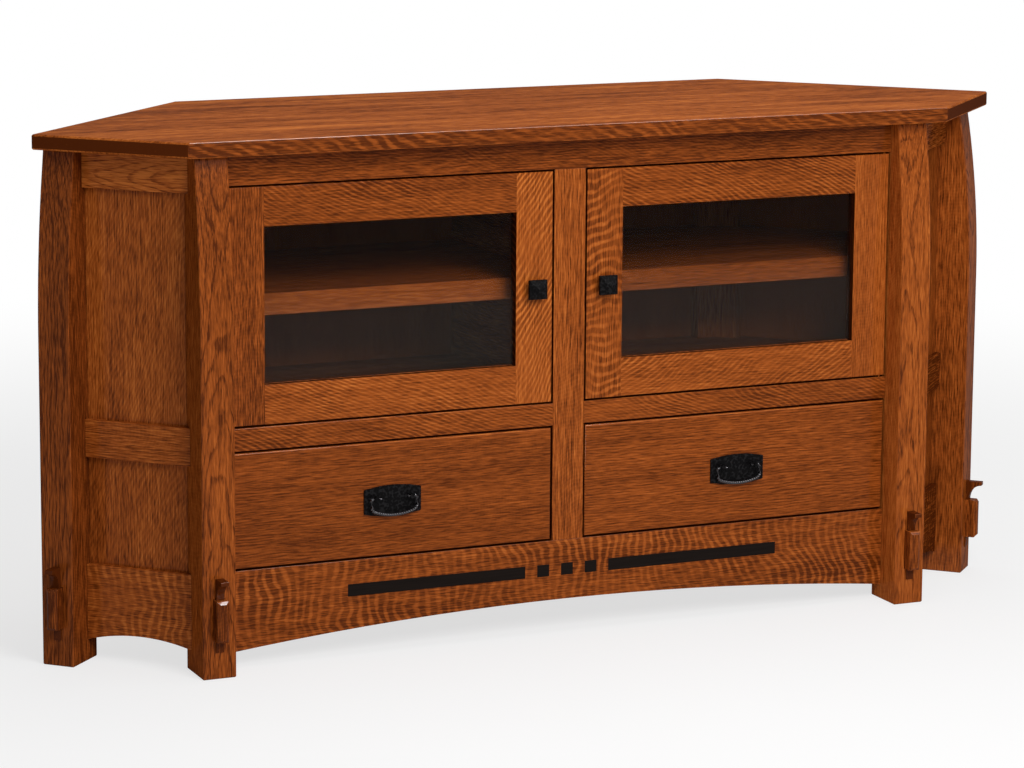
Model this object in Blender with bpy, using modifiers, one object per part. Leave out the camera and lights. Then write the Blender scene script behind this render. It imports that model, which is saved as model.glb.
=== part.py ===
"""A corner cabinet in stained oak, with two glazed doors over two drawers. Metres, +Z up.

The origin is on the floor under the cabinet's middle, and the front faces -Y. Pieces are laid out
in the space of CASE, whose origin is on the floor at the middle of the front frame's face. A side
frame has its own space: X runs along the frame, Y into the cabinet, and X = 0 is where the frame's
face meets the front leg. hand is -1 for the left of the cabinet and 1 for the right.
"""

import math

import bmesh
import bpy
from mathutils import Vector

# Clearances
SEAT = 0.0003
REVEAL = 0.003
SHELF_CLEARANCE = 0.003
GUIDE_CLEARANCE = 0.0005

# Heights of the front, from the floor up
BOTTOM_RAIL_TOP = 0.149
DRAWER_OPENING = 0.181
MID_RAIL_HEIGHT = 0.035
DOOR_OPENING = 0.362
TOP_RAIL_HEIGHT = 0.050
TOP_THICKNESS = 0.023

# Widths across the front
FRONT_OPENING = 1.114
CENTRE_STILE_WIDTH = 0.052
FRAME_THICKNESS = 0.020

# Legs: upright below, and bowed inwards above BOW_START
LEG_WIDTH = 0.052
LEG_DEPTH = 0.075
LEG_PROUD = 0.045
LEG_BOW = 0.024
BOW_START = 0.500
BOW_STEPS = 10
EDGE_EASE = 0.0015

# Side frames, at 45 degrees to the front
SIDE_SETBACK = 0.0045
SIDE_SPAN = 0.1745
SIDE_TOP_RAIL_HEIGHT = 0.059
SIDE_MID_RAIL_BOTTOM = 0.313
SIDE_MID_RAIL_HEIGHT = 0.057
PANEL_RECESS = 0.010
PANEL_THICKNESS = 0.006
PANEL_GROOVE = 0.006

# Arches under the bottom rails
FRONT_ARCH_END = 0.024
FRONT_ARCH_MIDDLE = 0.055
SIDE_ARCH_END = 0.033
SIDE_ARCH_MIDDLE = 0.0455
ARCH_STEPS = 20

# Top board
TOP_OVERHANG = 0.054
WALL_OVERHANG = 0.001
BACK_EDGE_WIDTH = 0.962
BACK_OVERHANG = 0.003
TOP_EASE = 0.002

# Back of the case
WALL_PANEL_INSET = 0.002
BACK_LEG_WIDTH = 0.045
BACK_LEG_THICKNESS = 0.025

# Inside of the case
DECK_THICKNESS = 0.018
PARTITION_THICKNESS = 0.018
LAP_DEPTH = 0.200
SHELF_TOP = 0.556
SHELF_THICKNESS = 0.018
SHELF_EDGE_HEIGHT = 0.033
SHELF_EDGE_DEPTH = 0.022
SHELF_SETBACK = 0.030
PIN_RADIUS = 0.003
PIN_REACH = 0.013
PIN_BITE = 0.004
PIN_FRONT_INSET = 0.060
PIN_BACK_INSET = 0.050

# Through tenons and their keys
TENON_WIDTH = 0.018
TENON_HEIGHT = 0.063
TENON_BOTTOM = 0.0585
TENON_PROUD = 0.020
TENON_BITE = 0.012
TENON_EASE = 0.004
KEY_WIDTH = 0.0125
KEY_NECK = 0.0052
KEY_TIP = 0.0018
KEY_BELOW = 0.018
KEY_ABOVE = 0.031
KEY_LIP = 0.006
KEY_HEAD = 0.026
COVE_STEPS = 8

# Inlay in the front bottom rail
INLAY_MIDDLE = 0.1025
INLAY_HEIGHT = 0.0185
INLAY_SQUARE = 0.0195
INLAY_SPACE = 0.0208
INLAY_BAR_LENGTH = 0.292
INLAY_DEPTH = 0.003

# Doors
DOOR_THICKNESS = 0.020
DOOR_MEMBER_WIDTH = 0.060
GLASS_THICKNESS = 0.003
GLASS_SETBACK = 0.010
GLASS_BITE = 0.007
PIVOT_INSET = 0.006
PIVOT_RADIUS = 0.0025
PIVOT_BITE = 0.008
KNOB_SIZE = 0.030
KNOB_RIM = 0.005
KNOB_POINT = 0.008
KNOB_NECK_RADIUS = 0.007
KNOB_NECK_LENGTH = 0.011
CATCH_HEIGHT = 0.022
CATCH_DEPTH = 0.016
CATCH_REACH = 0.045
CATCH_DROP = 0.030

# Drawers
DRAWER_FRONT_THICKNESS = 0.020
DRAWER_SIDE_GAP = 0.004
DRAWER_BACK_GAP = 0.029
DRAWER_BOX_HEIGHT = 0.156
DRAWER_WALL = 0.012
DRAWER_BOTTOM_THICKNESS = 0.006
DRAWER_BOTTOM_RISE = 0.014
GUIDE_WIDTH = 0.024
GUIDE_HEIGHT = 0.012

# Pulls
PLATE_WIDTH = 0.092
PLATE_END_HEIGHT = 0.037
PLATE_RISE = 0.0055
PLATE_THICKNESS = 0.0025
PLATE_ARC_STEPS = 10
PULL_DROP = 0.003
POST_SPACING = 0.058
POST_RADIUS = 0.0038
POST_LENGTH = 0.0105
POST_RISE = 0.006
BAIL_RADIUS = 0.0024
BAIL_HALF_WIDTH = 0.0367
BAIL_DROP = 0.027
BAIL_START = 0.021
BAIL_UPPER_BEND = 0.0035
BAIL_LOWER_BEND = 0.009
BAIL_LOWER_TURN = math.radians(70)
BAIL_STEPS = 4

CASE_TOP = BOTTOM_RAIL_TOP + DRAWER_OPENING + MID_RAIL_HEIGHT + DOOR_OPENING + TOP_RAIL_HEIGHT
MID_RAIL_BOTTOM = BOTTOM_RAIL_TOP + DRAWER_OPENING
MID_RAIL_TOP = MID_RAIL_BOTTOM + MID_RAIL_HEIGHT
TOP_RAIL_BOTTOM = MID_RAIL_TOP + DOOR_OPENING
LEG_INSIDE = FRONT_OPENING / 2
LEG_OUTSIDE = LEG_INSIDE + LEG_WIDTH
LEG_BACK = LEG_DEPTH - LEG_PROUD
SIDE_REACH = SIDE_SPAN + LEG_WIDTH
STILE_EDGE = CENTRE_STILE_WIDTH / 2
PANEL_BACK = PANEL_RECESS + PANEL_THICKNESS
SIDE_TOP_RAIL_BOTTOM = CASE_TOP - SIDE_TOP_RAIL_HEIGHT
BEHIND_FRAME = FRAME_THICKNESS + SEAT
DOOR_BOTTOM = MID_RAIL_TOP + REVEAL
DOOR_TOP = TOP_RAIL_BOTTOM - REVEAL
DRAWER_BOTTOM = BOTTOM_RAIL_TOP + REVEAL
DRAWER_TOP = MID_RAIL_BOTTOM - REVEAL
FRONT_NEAR = STILE_EDGE + REVEAL
FRONT_FAR = LEG_INSIDE - REVEAL
FRONT_MIDDLE = (FRONT_NEAR + FRONT_FAR) / 2
PARTITION_FACE = PARTITION_THICKNESS / 2
TENON_TOP = TENON_BOTTOM + TENON_HEIGHT
HANDS = (("left", -1), ("right", 1))

for old in list(bpy.data.objects):
    bpy.data.objects.remove(old, do_unlink=True)

CABINET = bpy.data.collections.new("corner_cabinet")
CUTTERS = bpy.data.collections.new("cutters")
for group in (CABINET, CUTTERS):
    bpy.context.scene.collection.children.link(group)


def finish(name, colour, roughness, metallic=0.0, alpha=1.0):
    """A plain Principled material."""
    material = bpy.data.materials.new(name)
    material.use_nodes = True
    shader = material.node_tree.nodes["Principled BSDF"]
    shader.inputs["Base Color"].default_value = (*colour, 1.0)
    shader.inputs["Roughness"].default_value = roughness
    shader.inputs["Metallic"].default_value = metallic
    shader.inputs["Alpha"].default_value = alpha
    return material


OAK = finish("stained_oak", (0.30, 0.085, 0.020), 0.42)
PANEL_OAK = finish("panel_oak", (0.26, 0.075, 0.018), 0.45)
INSIDE_OAK = finish("inside_oak", (0.24, 0.072, 0.020), 0.50)
DRAWER_MAPLE = finish("drawer_wood", (0.52, 0.36, 0.20), 0.50)
EBONY = finish("black_inlay", (0.010, 0.008, 0.007), 0.35)
BLACK_IRON = finish("black_hardware", (0.012, 0.012, 0.013), 0.45, 0.9)
SMOKED_GLASS = finish("smoked_glass", (0.10, 0.085, 0.075), 0.05, 0.0, 0.45)


def plan_outline(front, proud, reach, back):
    """The cabinet's six-sided plan: front and back are Y, proud is how far the sides stand out
    from the side frames' faces, and reach is how far along the side frames the wall edges lie."""
    side_sum = SIDE_SETBACK - LEG_OUTSIDE - proud * math.sqrt(2)
    wall_sum = SIDE_SETBACK + LEG_OUTSIDE + reach * math.sqrt(2)
    left = [
        (back - wall_sum, back),
        ((side_sum - wall_sum) / 2, (side_sum + wall_sum) / 2),
        (side_sum - front, front),
    ]
    return left + [(-x, y) for x, y in reversed(left)]


TOP_BACK = SIDE_SETBACK + LEG_OUTSIDE + (SIDE_REACH + WALL_OVERHANG) * math.sqrt(2) - BACK_EDGE_WIDTH / 2
BACK_FACE = TOP_BACK - BACK_OVERHANG
BACK_INSIDE = BACK_FACE - PANEL_THICKNESS
WALL_FACE = SIDE_REACH - WALL_PANEL_INSET
WALL_INSIDE = WALL_FACE - PANEL_THICKNESS
DRAWER_FAR = LEG_INSIDE - DRAWER_SIDE_GAP
BACK_LEG_FACE = BACK_INSIDE - SEAT - BACK_LEG_THICKNESS
WALL_AT_DRAWER = SIDE_SETBACK + LEG_OUTSIDE + WALL_INSIDE * math.sqrt(2) - DRAWER_FAR
DRAWER_BACK = min(WALL_AT_DRAWER, BACK_LEG_FACE) - DRAWER_BACK_GAP


def empty(name, location, turn=0.0, parent=None):
    pivot = bpy.data.objects.new(name, None)
    CABINET.objects.link(pivot)
    pivot.parent = parent
    pivot.location = location
    pivot.rotation_euler = (0, 0, turn)
    bpy.context.view_layer.update()
    return pivot


CASE = empty("case", (0, (LEG_PROUD + KEY_HEAD - TOP_BACK) / 2, 0))


def place(mesh, name, material, parent, location, rotation=(0, 0, 0)):
    """Puts a mesh in the cabinet, or among the cutters where it has no material."""
    mesh.name = name
    obj = bpy.data.objects.new(name, mesh)
    if material is None:
        CUTTERS.objects.link(obj)
        obj.hide_render = True
        obj.display_type = "WIRE"
    else:
        CABINET.objects.link(obj)
        mesh.materials.append(material)
    obj.parent = parent or CASE
    obj.location = location
    obj.rotation_euler = rotation
    return obj


def block(name, low, high, material=None, parent=None):
    """A block between two corners, with its origin at its middle."""
    low, high = Vector(low), Vector(high)
    bm = bmesh.new()
    bmesh.ops.create_cube(bm, size=1.0)
    bmesh.ops.scale(bm, vec=high - low, verts=bm.verts)
    mesh = bpy.data.meshes.new(name)
    bm.to_mesh(mesh)
    bm.free()
    return place(mesh, name, material, parent, (low + high) / 2)


def outline_mesh(name, outline, thickness):
    """An outline in X and Y, filled and made thick along Z, half to each side."""
    curve = bpy.data.curves.new(name, "CURVE")
    curve.dimensions = "2D"
    curve.fill_mode = "BOTH"
    curve.extrude = thickness / 2
    spline = curve.splines.new("POLY")
    spline.points.add(len(outline) - 1)
    for point, (x, y) in zip(spline.points, outline):
        point.co = (x, y, 0, 1)
    spline.use_cyclic_u = True
    return curve_mesh(curve)


def curve_mesh(curve):
    """The closed mesh of a curve, with its caps welded on."""
    guide = bpy.data.objects.new(curve.name, curve)
    bpy.context.scene.collection.objects.link(guide)
    mesh = bpy.data.meshes.new_from_object(guide.evaluated_get(bpy.context.evaluated_depsgraph_get()))
    bpy.data.objects.remove(guide)
    bpy.data.curves.remove(curve)
    bm = bmesh.new()
    bm.from_mesh(mesh)
    bmesh.ops.remove_doubles(bm, verts=bm.verts, dist=1e-6)
    bmesh.ops.recalc_face_normals(bm, faces=bm.faces)
    bm.to_mesh(mesh)
    bm.free()
    return mesh


def flat_board(name, outline, low, high, material=None, parent=None):
    """A board lying level, from its outline in plan and the heights of its two faces."""
    mesh = outline_mesh(name, outline, high - low)
    return place(mesh, name, material, parent, (0, 0, (low + high) / 2))


def front_board(name, outline, middle, front, back, material=None, parent=None):
    """A board standing along the front, from its outline in X and Z about middle."""
    mesh = outline_mesh(name, outline, back - front)
    x, z = middle
    return place(mesh, name, material, parent, (x, (front + back) / 2, z), (math.pi / 2, 0, 0))


def profile_board(name, outline, middle, width, material=None, parent=None):
    """A piece of one profile in Y and Z, width wide about X = middle."""
    mesh = outline_mesh(name, outline, width)
    return place(mesh, name, material, parent, (middle, 0, 0), (math.pi / 2, 0, math.pi / 2))


def rod(name, radius, start, end, material=None, parent=None, sides=20):
    """A round rod between two points."""
    start, end = Vector(start), Vector(end)
    bm = bmesh.new()
    bmesh.ops.create_cone(
        bm, cap_ends=True, segments=sides, radius1=radius, radius2=radius, depth=(end - start).length
    )
    mesh = bpy.data.meshes.new(name)
    bm.to_mesh(mesh)
    bm.free()
    mesh.shade_smooth()
    mesh.set_sharp_from_angle(angle=math.radians(40))
    turn = (end - start).to_track_quat("Z", "Y").to_euler()
    return place(mesh, name, material, parent, (start + end) / 2, turn)


def combine(obj, other, operation):
    """A Boolean of obj with a cutter."""
    modifier = obj.modifiers.new(other.name, "BOOLEAN")
    modifier.operation = operation
    modifier.object = other
    modifier.solver = "EXACT"


def cut(obj, cutter):
    combine(obj, cutter, "DIFFERENCE")


def join(obj, other):
    combine(obj, other, "UNION")


def ease(obj, width):
    """Bevels the sharp edges by one narrow flat."""
    modifier = obj.modifiers.new("eased_edges", "BEVEL")
    modifier.width = width
    modifier.segments = 1
    modifier.limit_method = "ANGLE"


def hang_on(obj, pivot):
    """Parents a piece that was laid out in CASE to an empty, and leaves it where it is."""
    obj.parent = pivot
    obj.matrix_parent_inverse = pivot.matrix_world.inverted() @ CASE.matrix_world
    return obj


def bow(z):
    """How far a leg's face draws back at height z."""
    rise = max(z - BOW_START, 0)
    full = CASE_TOP - BOW_START
    radius = (full**2 + LEG_BOW**2) / (2 * LEG_BOW)
    return radius - math.sqrt(radius**2 - rise**2)


def arch(span, end, middle, steps):
    """Points of an arc over a span, end high at both ends and middle high between them."""
    rise = middle - end
    radius = ((span / 2) ** 2 + rise**2) / (2 * rise)
    sweep = math.asin(span / 2 / radius)
    turns = [sweep * (2 * n / steps - 1) for n in range(steps + 1)]
    return [(radius * math.sin(t), middle - radius * (1 - math.cos(t))) for t in turns]


def arch_cutter(name, span, end, middle, centre, depth, parent=None):
    """What an arch takes out of a rail: the space from the arc down past the rail's lower edge."""
    arc = arch(span, end, middle, ARCH_STEPS)
    below = [(span / 2, -end), (-span / 2, -end)]
    return front_board(name, arc + below, (centre, 0), -depth, 2 * depth, None, parent)


# Top board


def make_top():
    outline = plan_outline(-TOP_OVERHANG, TOP_OVERHANG, SIDE_REACH + WALL_OVERHANG, TOP_BACK)
    top = flat_board("top_board", outline, CASE_TOP, CASE_TOP + TOP_THICKNESS, OAK)
    ease(top, TOP_EASE)


# Legs with their through tenons and keys


def key_thickness(z):
    """A key's thickness at height z, between its tip and its neck at the top of the tenon."""
    tip = TENON_BOTTOM - KEY_BELOW
    return KEY_TIP + (KEY_NECK - KEY_TIP) * (z - tip) / (TENON_TOP - tip)


def make_leg(name, x, parent):
    steps = [BOW_START + (CASE_TOP - SEAT - BOW_START) * n / BOW_STEPS for n in range(BOW_STEPS + 1)]
    face = [(bow(z) - LEG_PROUD, z) for z in steps]
    outline = [(LEG_BACK, 0), (LEG_BACK, CASE_TOP - SEAT), *reversed(face), (-LEG_PROUD, 0)]
    leg = profile_board(name, outline, x, LEG_WIDTH, OAK, parent)
    ease(leg, EDGE_EASE)
    half = TENON_WIDTH / 2 + SEAT
    low = (x - half, -LEG_PROUD - TENON_BITE, TENON_BOTTOM - SEAT)
    high = (x + half, -LEG_PROUD + TENON_BITE + SEAT, TENON_TOP + SEAT)
    cut(leg, block(name + "_mortise", low, high, None, parent))
    return leg


def make_tenon(name, x, parent):
    half = TENON_WIDTH / 2
    low = (x - half, -LEG_PROUD - TENON_PROUD, TENON_BOTTOM)
    high = (x + half, -LEG_PROUD + TENON_BITE, TENON_TOP)
    tenon = block(name, low, high, OAK, parent)
    bm = bmesh.new()
    bm.from_mesh(tenon.data)
    outer = [e for e in bm.edges if all(v.co.y < 0 for v in e.verts)]
    bmesh.ops.bevel(bm, geom=outer, offset=TENON_EASE, segments=1, profile=0.5, affect="EDGES")
    bm.to_mesh(tenon.data)
    bm.free()
    ends = (TENON_BOTTOM - TENON_EASE, TENON_TOP + TENON_EASE)
    slot = [(-LEG_PROUD, z) for z in ends]
    slot += [(-LEG_PROUD - key_thickness(z) - SEAT, z) for z in reversed(ends)]
    cut(tenon, profile_board(name + "_slot", slot, x, KEY_WIDTH + 2 * SEAT, None, parent))


def make_key(name, x, parent):
    tip = TENON_BOTTOM - KEY_BELOW
    top = TENON_TOP + KEY_ABOVE
    reach = KEY_HEAD - KEY_NECK
    rise = KEY_ABOVE - KEY_LIP
    turns = [math.pi / 2 * n / COVE_STEPS for n in range(COVE_STEPS + 1)]
    cove = [(KEY_HEAD - reach * math.cos(t), TENON_TOP + rise * math.sin(t)) for t in turns]
    shape = [(SEAT, tip), (KEY_TIP, tip), *cove, (KEY_HEAD, top), (SEAT, top)]
    outline = [(-LEG_PROUD - out, z) for out, z in shape]
    profile_board(name, outline, x, KEY_WIDTH, OAK, parent)


def pin(name, start, direction, parent=None):
    """A shelf pin that stands out of a face by PIN_REACH, for joining to the piece behind it."""
    start, direction = Vector(start), Vector(direction)
    return rod(name, PIN_RADIUS, start - direction * PIN_BITE, start + direction * PIN_REACH, None, parent)


PIN_HEIGHT = SHELF_TOP - SHELF_THICKNESS - SEAT - PIN_RADIUS


def make_legs(side, hand, frame):
    front = hand * (LEG_INSIDE + LEG_WIDTH / 2)
    rear = hand * (SIDE_SPAN + LEG_WIDTH / 2)
    for place_name, x, parent in (("front", front, None), ("rear", rear, frame)):
        leg = make_leg(f"{place_name}_leg_{side}", x, parent)
        make_tenon(f"{place_name}_tenon_{side}", x, parent)
        make_key(f"{place_name}_key_{side}", x, parent)
    join(leg, pin(f"rear_pin_{side}", (rear, LEG_BACK, PIN_HEIGHT), (0, 1, 0), frame))


# Front frame


def make_front_frame():
    rail_end = LEG_INSIDE - SEAT
    stile_side = STILE_EDGE + SEAT
    top = block(
        "front_top_rail",
        (-rail_end, 0, TOP_RAIL_BOTTOM),
        (rail_end, FRAME_THICKNESS, CASE_TOP - SEAT),
        OAK,
    )
    block(
        "centre_stile",
        (-STILE_EDGE, 0, BOTTOM_RAIL_TOP + SEAT),
        (STILE_EDGE, FRAME_THICKNESS, TOP_RAIL_BOTTOM - SEAT),
        OAK,
    )
    for side, hand in HANDS:
        ends = sorted((hand * stile_side, hand * rail_end))
        rail = block(
            f"mid_rail_{side}",
            (ends[0], 0, MID_RAIL_BOTTOM),
            (ends[1], FRAME_THICKNESS, MID_RAIL_TOP),
            OAK,
        )
        cut(rail, pivot_bore(f"lower_pivot_bore_{side}", hand, MID_RAIL_TOP, -1))
        cut(top, pivot_bore(f"upper_pivot_bore_{side}", hand, TOP_RAIL_BOTTOM, 1))
    make_bottom_rail(rail_end)


def pivot_bore(name, hand, height, direction):
    """The hole for a door's pivot pin, from a rail's edge at height, upwards or downwards."""
    x = hand * (FRONT_FAR - PIVOT_INSET)
    bottom = height + direction * (PIVOT_BITE + SEAT)
    return rod(name, PIVOT_RADIUS + SEAT, (x, PIVOT_INSET, height - direction * REVEAL), (x, PIVOT_INSET, bottom))


def make_bottom_rail(rail_end):
    rail = block("front_bottom_rail", (-rail_end, 0, 0), (rail_end, FRAME_THICKNESS, BOTTOM_RAIL_TOP), OAK)
    cut(
        rail,
        arch_cutter(
            "front_arch", FRONT_OPENING, FRONT_ARCH_END, FRONT_ARCH_MIDDLE, 0, FRAME_THICKNESS
        ),
    )
    square_pitch = INLAY_SQUARE + INLAY_SPACE
    bar_start = square_pitch + INLAY_SQUARE / 2 + INLAY_SPACE
    bar_middle = bar_start + INLAY_BAR_LENGTH / 2
    pieces = [
        ("inlay_bar_left", -bar_middle, INLAY_BAR_LENGTH),
        ("inlay_square_left", -square_pitch, INLAY_SQUARE),
        ("inlay_square_middle", 0, INLAY_SQUARE),
        ("inlay_square_right", square_pitch, INLAY_SQUARE),
        ("inlay_bar_right", bar_middle, INLAY_BAR_LENGTH),
    ]
    for name, x, length in pieces:
        make_inlay(name, x, length, rail)


def make_inlay(name, x, length, rail):
    half, rise = length / 2, INLAY_HEIGHT / 2
    block(
        name,
        (x - half, 0, INLAY_MIDDLE - rise),
        (x + half, INLAY_DEPTH, INLAY_MIDDLE + rise),
        EBONY,
    )
    half, rise, depth = half + SEAT, rise + SEAT, INLAY_DEPTH + SEAT
    low = (x - half, -depth, INLAY_MIDDLE - rise)
    cut(rail, block(name + "_pocket", low, (x + half, depth, INLAY_MIDDLE + rise)))


# Side frames


def side_outline(hand, face, back):
    """Plan of a piece between the two legs of a side, mitred against the front leg."""
    near = SEAT * math.sqrt(2)
    far = SIDE_SPAN - SEAT
    corners = [(face + near, face), (far, face), (far, back), (back + near, back)]
    return [(hand * x, y) for x, y in corners]


def make_side_frame(side, hand, frame):
    whole = side_outline(hand, 0, FRAME_THICKNESS)
    panel = side_outline(hand, PANEL_RECESS, PANEL_BACK)
    mid_top = SIDE_MID_RAIL_BOTTOM + SIDE_MID_RAIL_HEIGHT
    rails = []
    for name, low, high in (
        ("bottom", 0, BOTTOM_RAIL_TOP),
        ("mid", SIDE_MID_RAIL_BOTTOM, mid_top),
        ("top", SIDE_TOP_RAIL_BOTTOM, CASE_TOP - SEAT),
    ):
        rails.append(flat_board(f"side_{name}_rail_{side}", whole, low, high, OAK, frame))
    for name, low, high in (
        ("lower", BOTTOM_RAIL_TOP, SIDE_MID_RAIL_BOTTOM),
        ("upper", mid_top, SIDE_TOP_RAIL_BOTTOM),
    ):
        low, high = low - PANEL_GROOVE, high + PANEL_GROOVE
        flat_board(f"side_{name}_panel_{side}", panel, low, high, PANEL_OAK, frame)
        groove = block(
            f"side_{name}_groove_{side}",
            (-SIDE_REACH, PANEL_RECESS - SEAT, low - SEAT),
            (SIDE_REACH, PANEL_BACK + SEAT, high + SEAT),
            None,
            frame,
        )
        for rail in rails:
            cut(rail, groove)
    cut(
        rails[0],
        arch_cutter(
            f"side_arch_{side}",
            SIDE_SPAN,
            SIDE_ARCH_END,
            SIDE_ARCH_MIDDLE,
            hand * SIDE_SPAN / 2,
            FRAME_THICKNESS,
            frame,
        ),
    )


# Back of the case


def back_leg_outline(hand, clearance):
    """Plan of a back leg, which fills the corner between the back panel and a wall panel."""
    wall_sum = SIDE_SETBACK + LEG_OUTSIDE + (WALL_INSIDE - SEAT + clearance) * math.sqrt(2)
    back = BACK_INSIDE - SEAT + clearance
    thick = BACK_LEG_THICKNESS + 2 * clearance
    corner = Vector((back - wall_sum, back))
    inner = corner + Vector((thick * math.tan(math.pi / 8), -thick))
    along_wall = Vector((-math.sqrt(0.5), -math.sqrt(0.5)))
    into_case = Vector((math.sqrt(0.5), -math.sqrt(0.5)))
    width = BACK_LEG_WIDTH + clearance
    points = [
        corner,
        corner + along_wall * width,
        corner + along_wall * width + into_case * thick,
        inner,
        corner + Vector((width, -thick)),
        corner + Vector((width, 0)),
    ]
    return [(-hand * x, y) for x, y in points]


def make_back(side, hand):
    leg = flat_board(f"back_leg_{side}", back_leg_outline(hand, 0), 0, CASE_TOP - SEAT, OAK)
    x = abs(back_leg_outline(hand, 0)[4][0]) + BACK_LEG_WIDTH / 4
    start = (hand * x, BACK_LEG_FACE, PIN_HEIGHT)
    join(leg, pin(f"back_pin_{side}", start, (0, -1, 0)))
    low, high = BOTTOM_RAIL_TOP - DECK_THICKNESS, CASE_TOP - SEAT
    wall_face = plan_outline(0, -LEG_BACK - SEAT, WALL_FACE, BACK_FACE)
    wall_inside = plan_outline(0, -LEG_BACK - SEAT, WALL_INSIDE, BACK_INSIDE)
    outline = [wall_face[0], wall_face[1], wall_inside[1], wall_inside[0]]
    outline = [(-hand * x, y - SEAT) for x, y in outline]
    flat_board(f"wall_panel_{side}", outline, low, high, PANEL_OAK)


def make_back_panel():
    face = plan_outline(0, 0, WALL_FACE, BACK_FACE)
    inside = plan_outline(0, 0, WALL_INSIDE, BACK_INSIDE)
    outline = [face[0], inside[0], inside[-1], face[-1]]
    low, high = BOTTOM_RAIL_TOP - DECK_THICKNESS, CASE_TOP - SEAT
    flat_board("back_panel", outline, low, high, PANEL_OAK)


# Decks, partition and shelves


def leg_notches(clearance, frames):
    """Cutters that clear the rear and back legs by clearance."""
    cutters = []
    for side, hand in HANDS:
        ends = sorted((hand * (SIDE_SPAN - clearance), hand * (SIDE_REACH + clearance)))
        low = (ends[0], -LEG_PROUD, 0)
        high = (ends[1], LEG_BACK + clearance, CASE_TOP)
        cutters.append(block(f"rear_leg_notch_{side}", low, high, None, frames[side]))
        outline = back_leg_outline(hand, clearance)
        cutters.append(flat_board(f"back_leg_notch_{side}", outline, 0, CASE_TOP))
    return cutters


def make_decks(frames):
    outline = plan_outline(BEHIND_FRAME, -BEHIND_FRAME, WALL_INSIDE - SEAT, BACK_INSIDE - SEAT)
    notches = leg_notches(SEAT, frames)
    for side, hand in HANDS:
        ends = sorted((hand * (LEG_INSIDE - SEAT), hand * (LEG_OUTSIDE + SEAT)))
        low, high = (ends[0], -LEG_PROUD, 0), (ends[1], LEG_BACK + SEAT, CASE_TOP)
        notches.append(block(f"front_leg_notch_{side}", low, high))
    for name, top in (("bottom_deck", BOTTOM_RAIL_TOP), ("middle_deck", MID_RAIL_TOP)):
        deck = flat_board(name, outline, top - DECK_THICKNESS, top, INSIDE_OAK)
        for notch in notches:
            cut(deck, notch)
    lap = PARTITION_FACE + SEAT
    low = (-lap, BEHIND_FRAME + LAP_DEPTH, MID_RAIL_BOTTOM)
    cut(deck, block("deck_lap", low, (lap, TOP_BACK, CASE_TOP)))


def make_partition():
    partition = block(
        "centre_partition",
        (-PARTITION_FACE, BEHIND_FRAME, BOTTOM_RAIL_TOP + SEAT),
        (PARTITION_FACE, BACK_INSIDE - SEAT, CASE_TOP - SEAT),
        INSIDE_OAK,
    )
    low = (-PARTITION_THICKNESS, 0, MID_RAIL_TOP - DECK_THICKNESS - SEAT)
    high = (PARTITION_THICKNESS, BEHIND_FRAME + LAP_DEPTH + SEAT, MID_RAIL_TOP + SEAT)
    cut(partition, block("partition_lap", low, high))
    reach = PARTITION_FACE + PIN_REACH
    front = FRAME_THICKNESS + SHELF_SETBACK + PIN_FRONT_INSET
    back = BACK_INSIDE - PIN_BACK_INSET
    for name, y in (("front", front), ("back", back)):
        join(partition, rod(f"partition_pin_{name}", PIN_RADIUS, (-reach, y, PIN_HEIGHT), (reach, y, PIN_HEIGHT)))
    return partition


def make_shelves(frames):
    """Each shelf is a board with a deeper edge along its front."""
    notches = leg_notches(SHELF_CLEARANCE, frames)
    front = FRAME_THICKNESS + SHELF_SETBACK
    side = -FRAME_THICKNESS - SHELF_CLEARANCE
    back = BACK_INSIDE - SHELF_CLEARANCE
    inner = PARTITION_FACE + SEAT
    corners = plan_outline(front, side, WALL_INSIDE - SHELF_CLEARANCE, back)[:3]
    corners += [(-inner, front), (-inner, back)]
    low = (-LEG_OUTSIDE - SIDE_REACH, front + SHELF_EDGE_DEPTH, 0)
    high = (LEG_OUTSIDE + SIDE_REACH, TOP_BACK, SHELF_TOP - SHELF_THICKNESS)
    notches.append(block("shelf_underside", low, high))
    for side, hand in HANDS:
        outline = [(-hand * x, y) for x, y in corners]
        shelf = flat_board(f"shelf_{side}", outline, SHELF_TOP - SHELF_EDGE_HEIGHT, SHELF_TOP, INSIDE_OAK)
        for notch in notches:
            cut(shelf, notch)


# Doors


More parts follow.
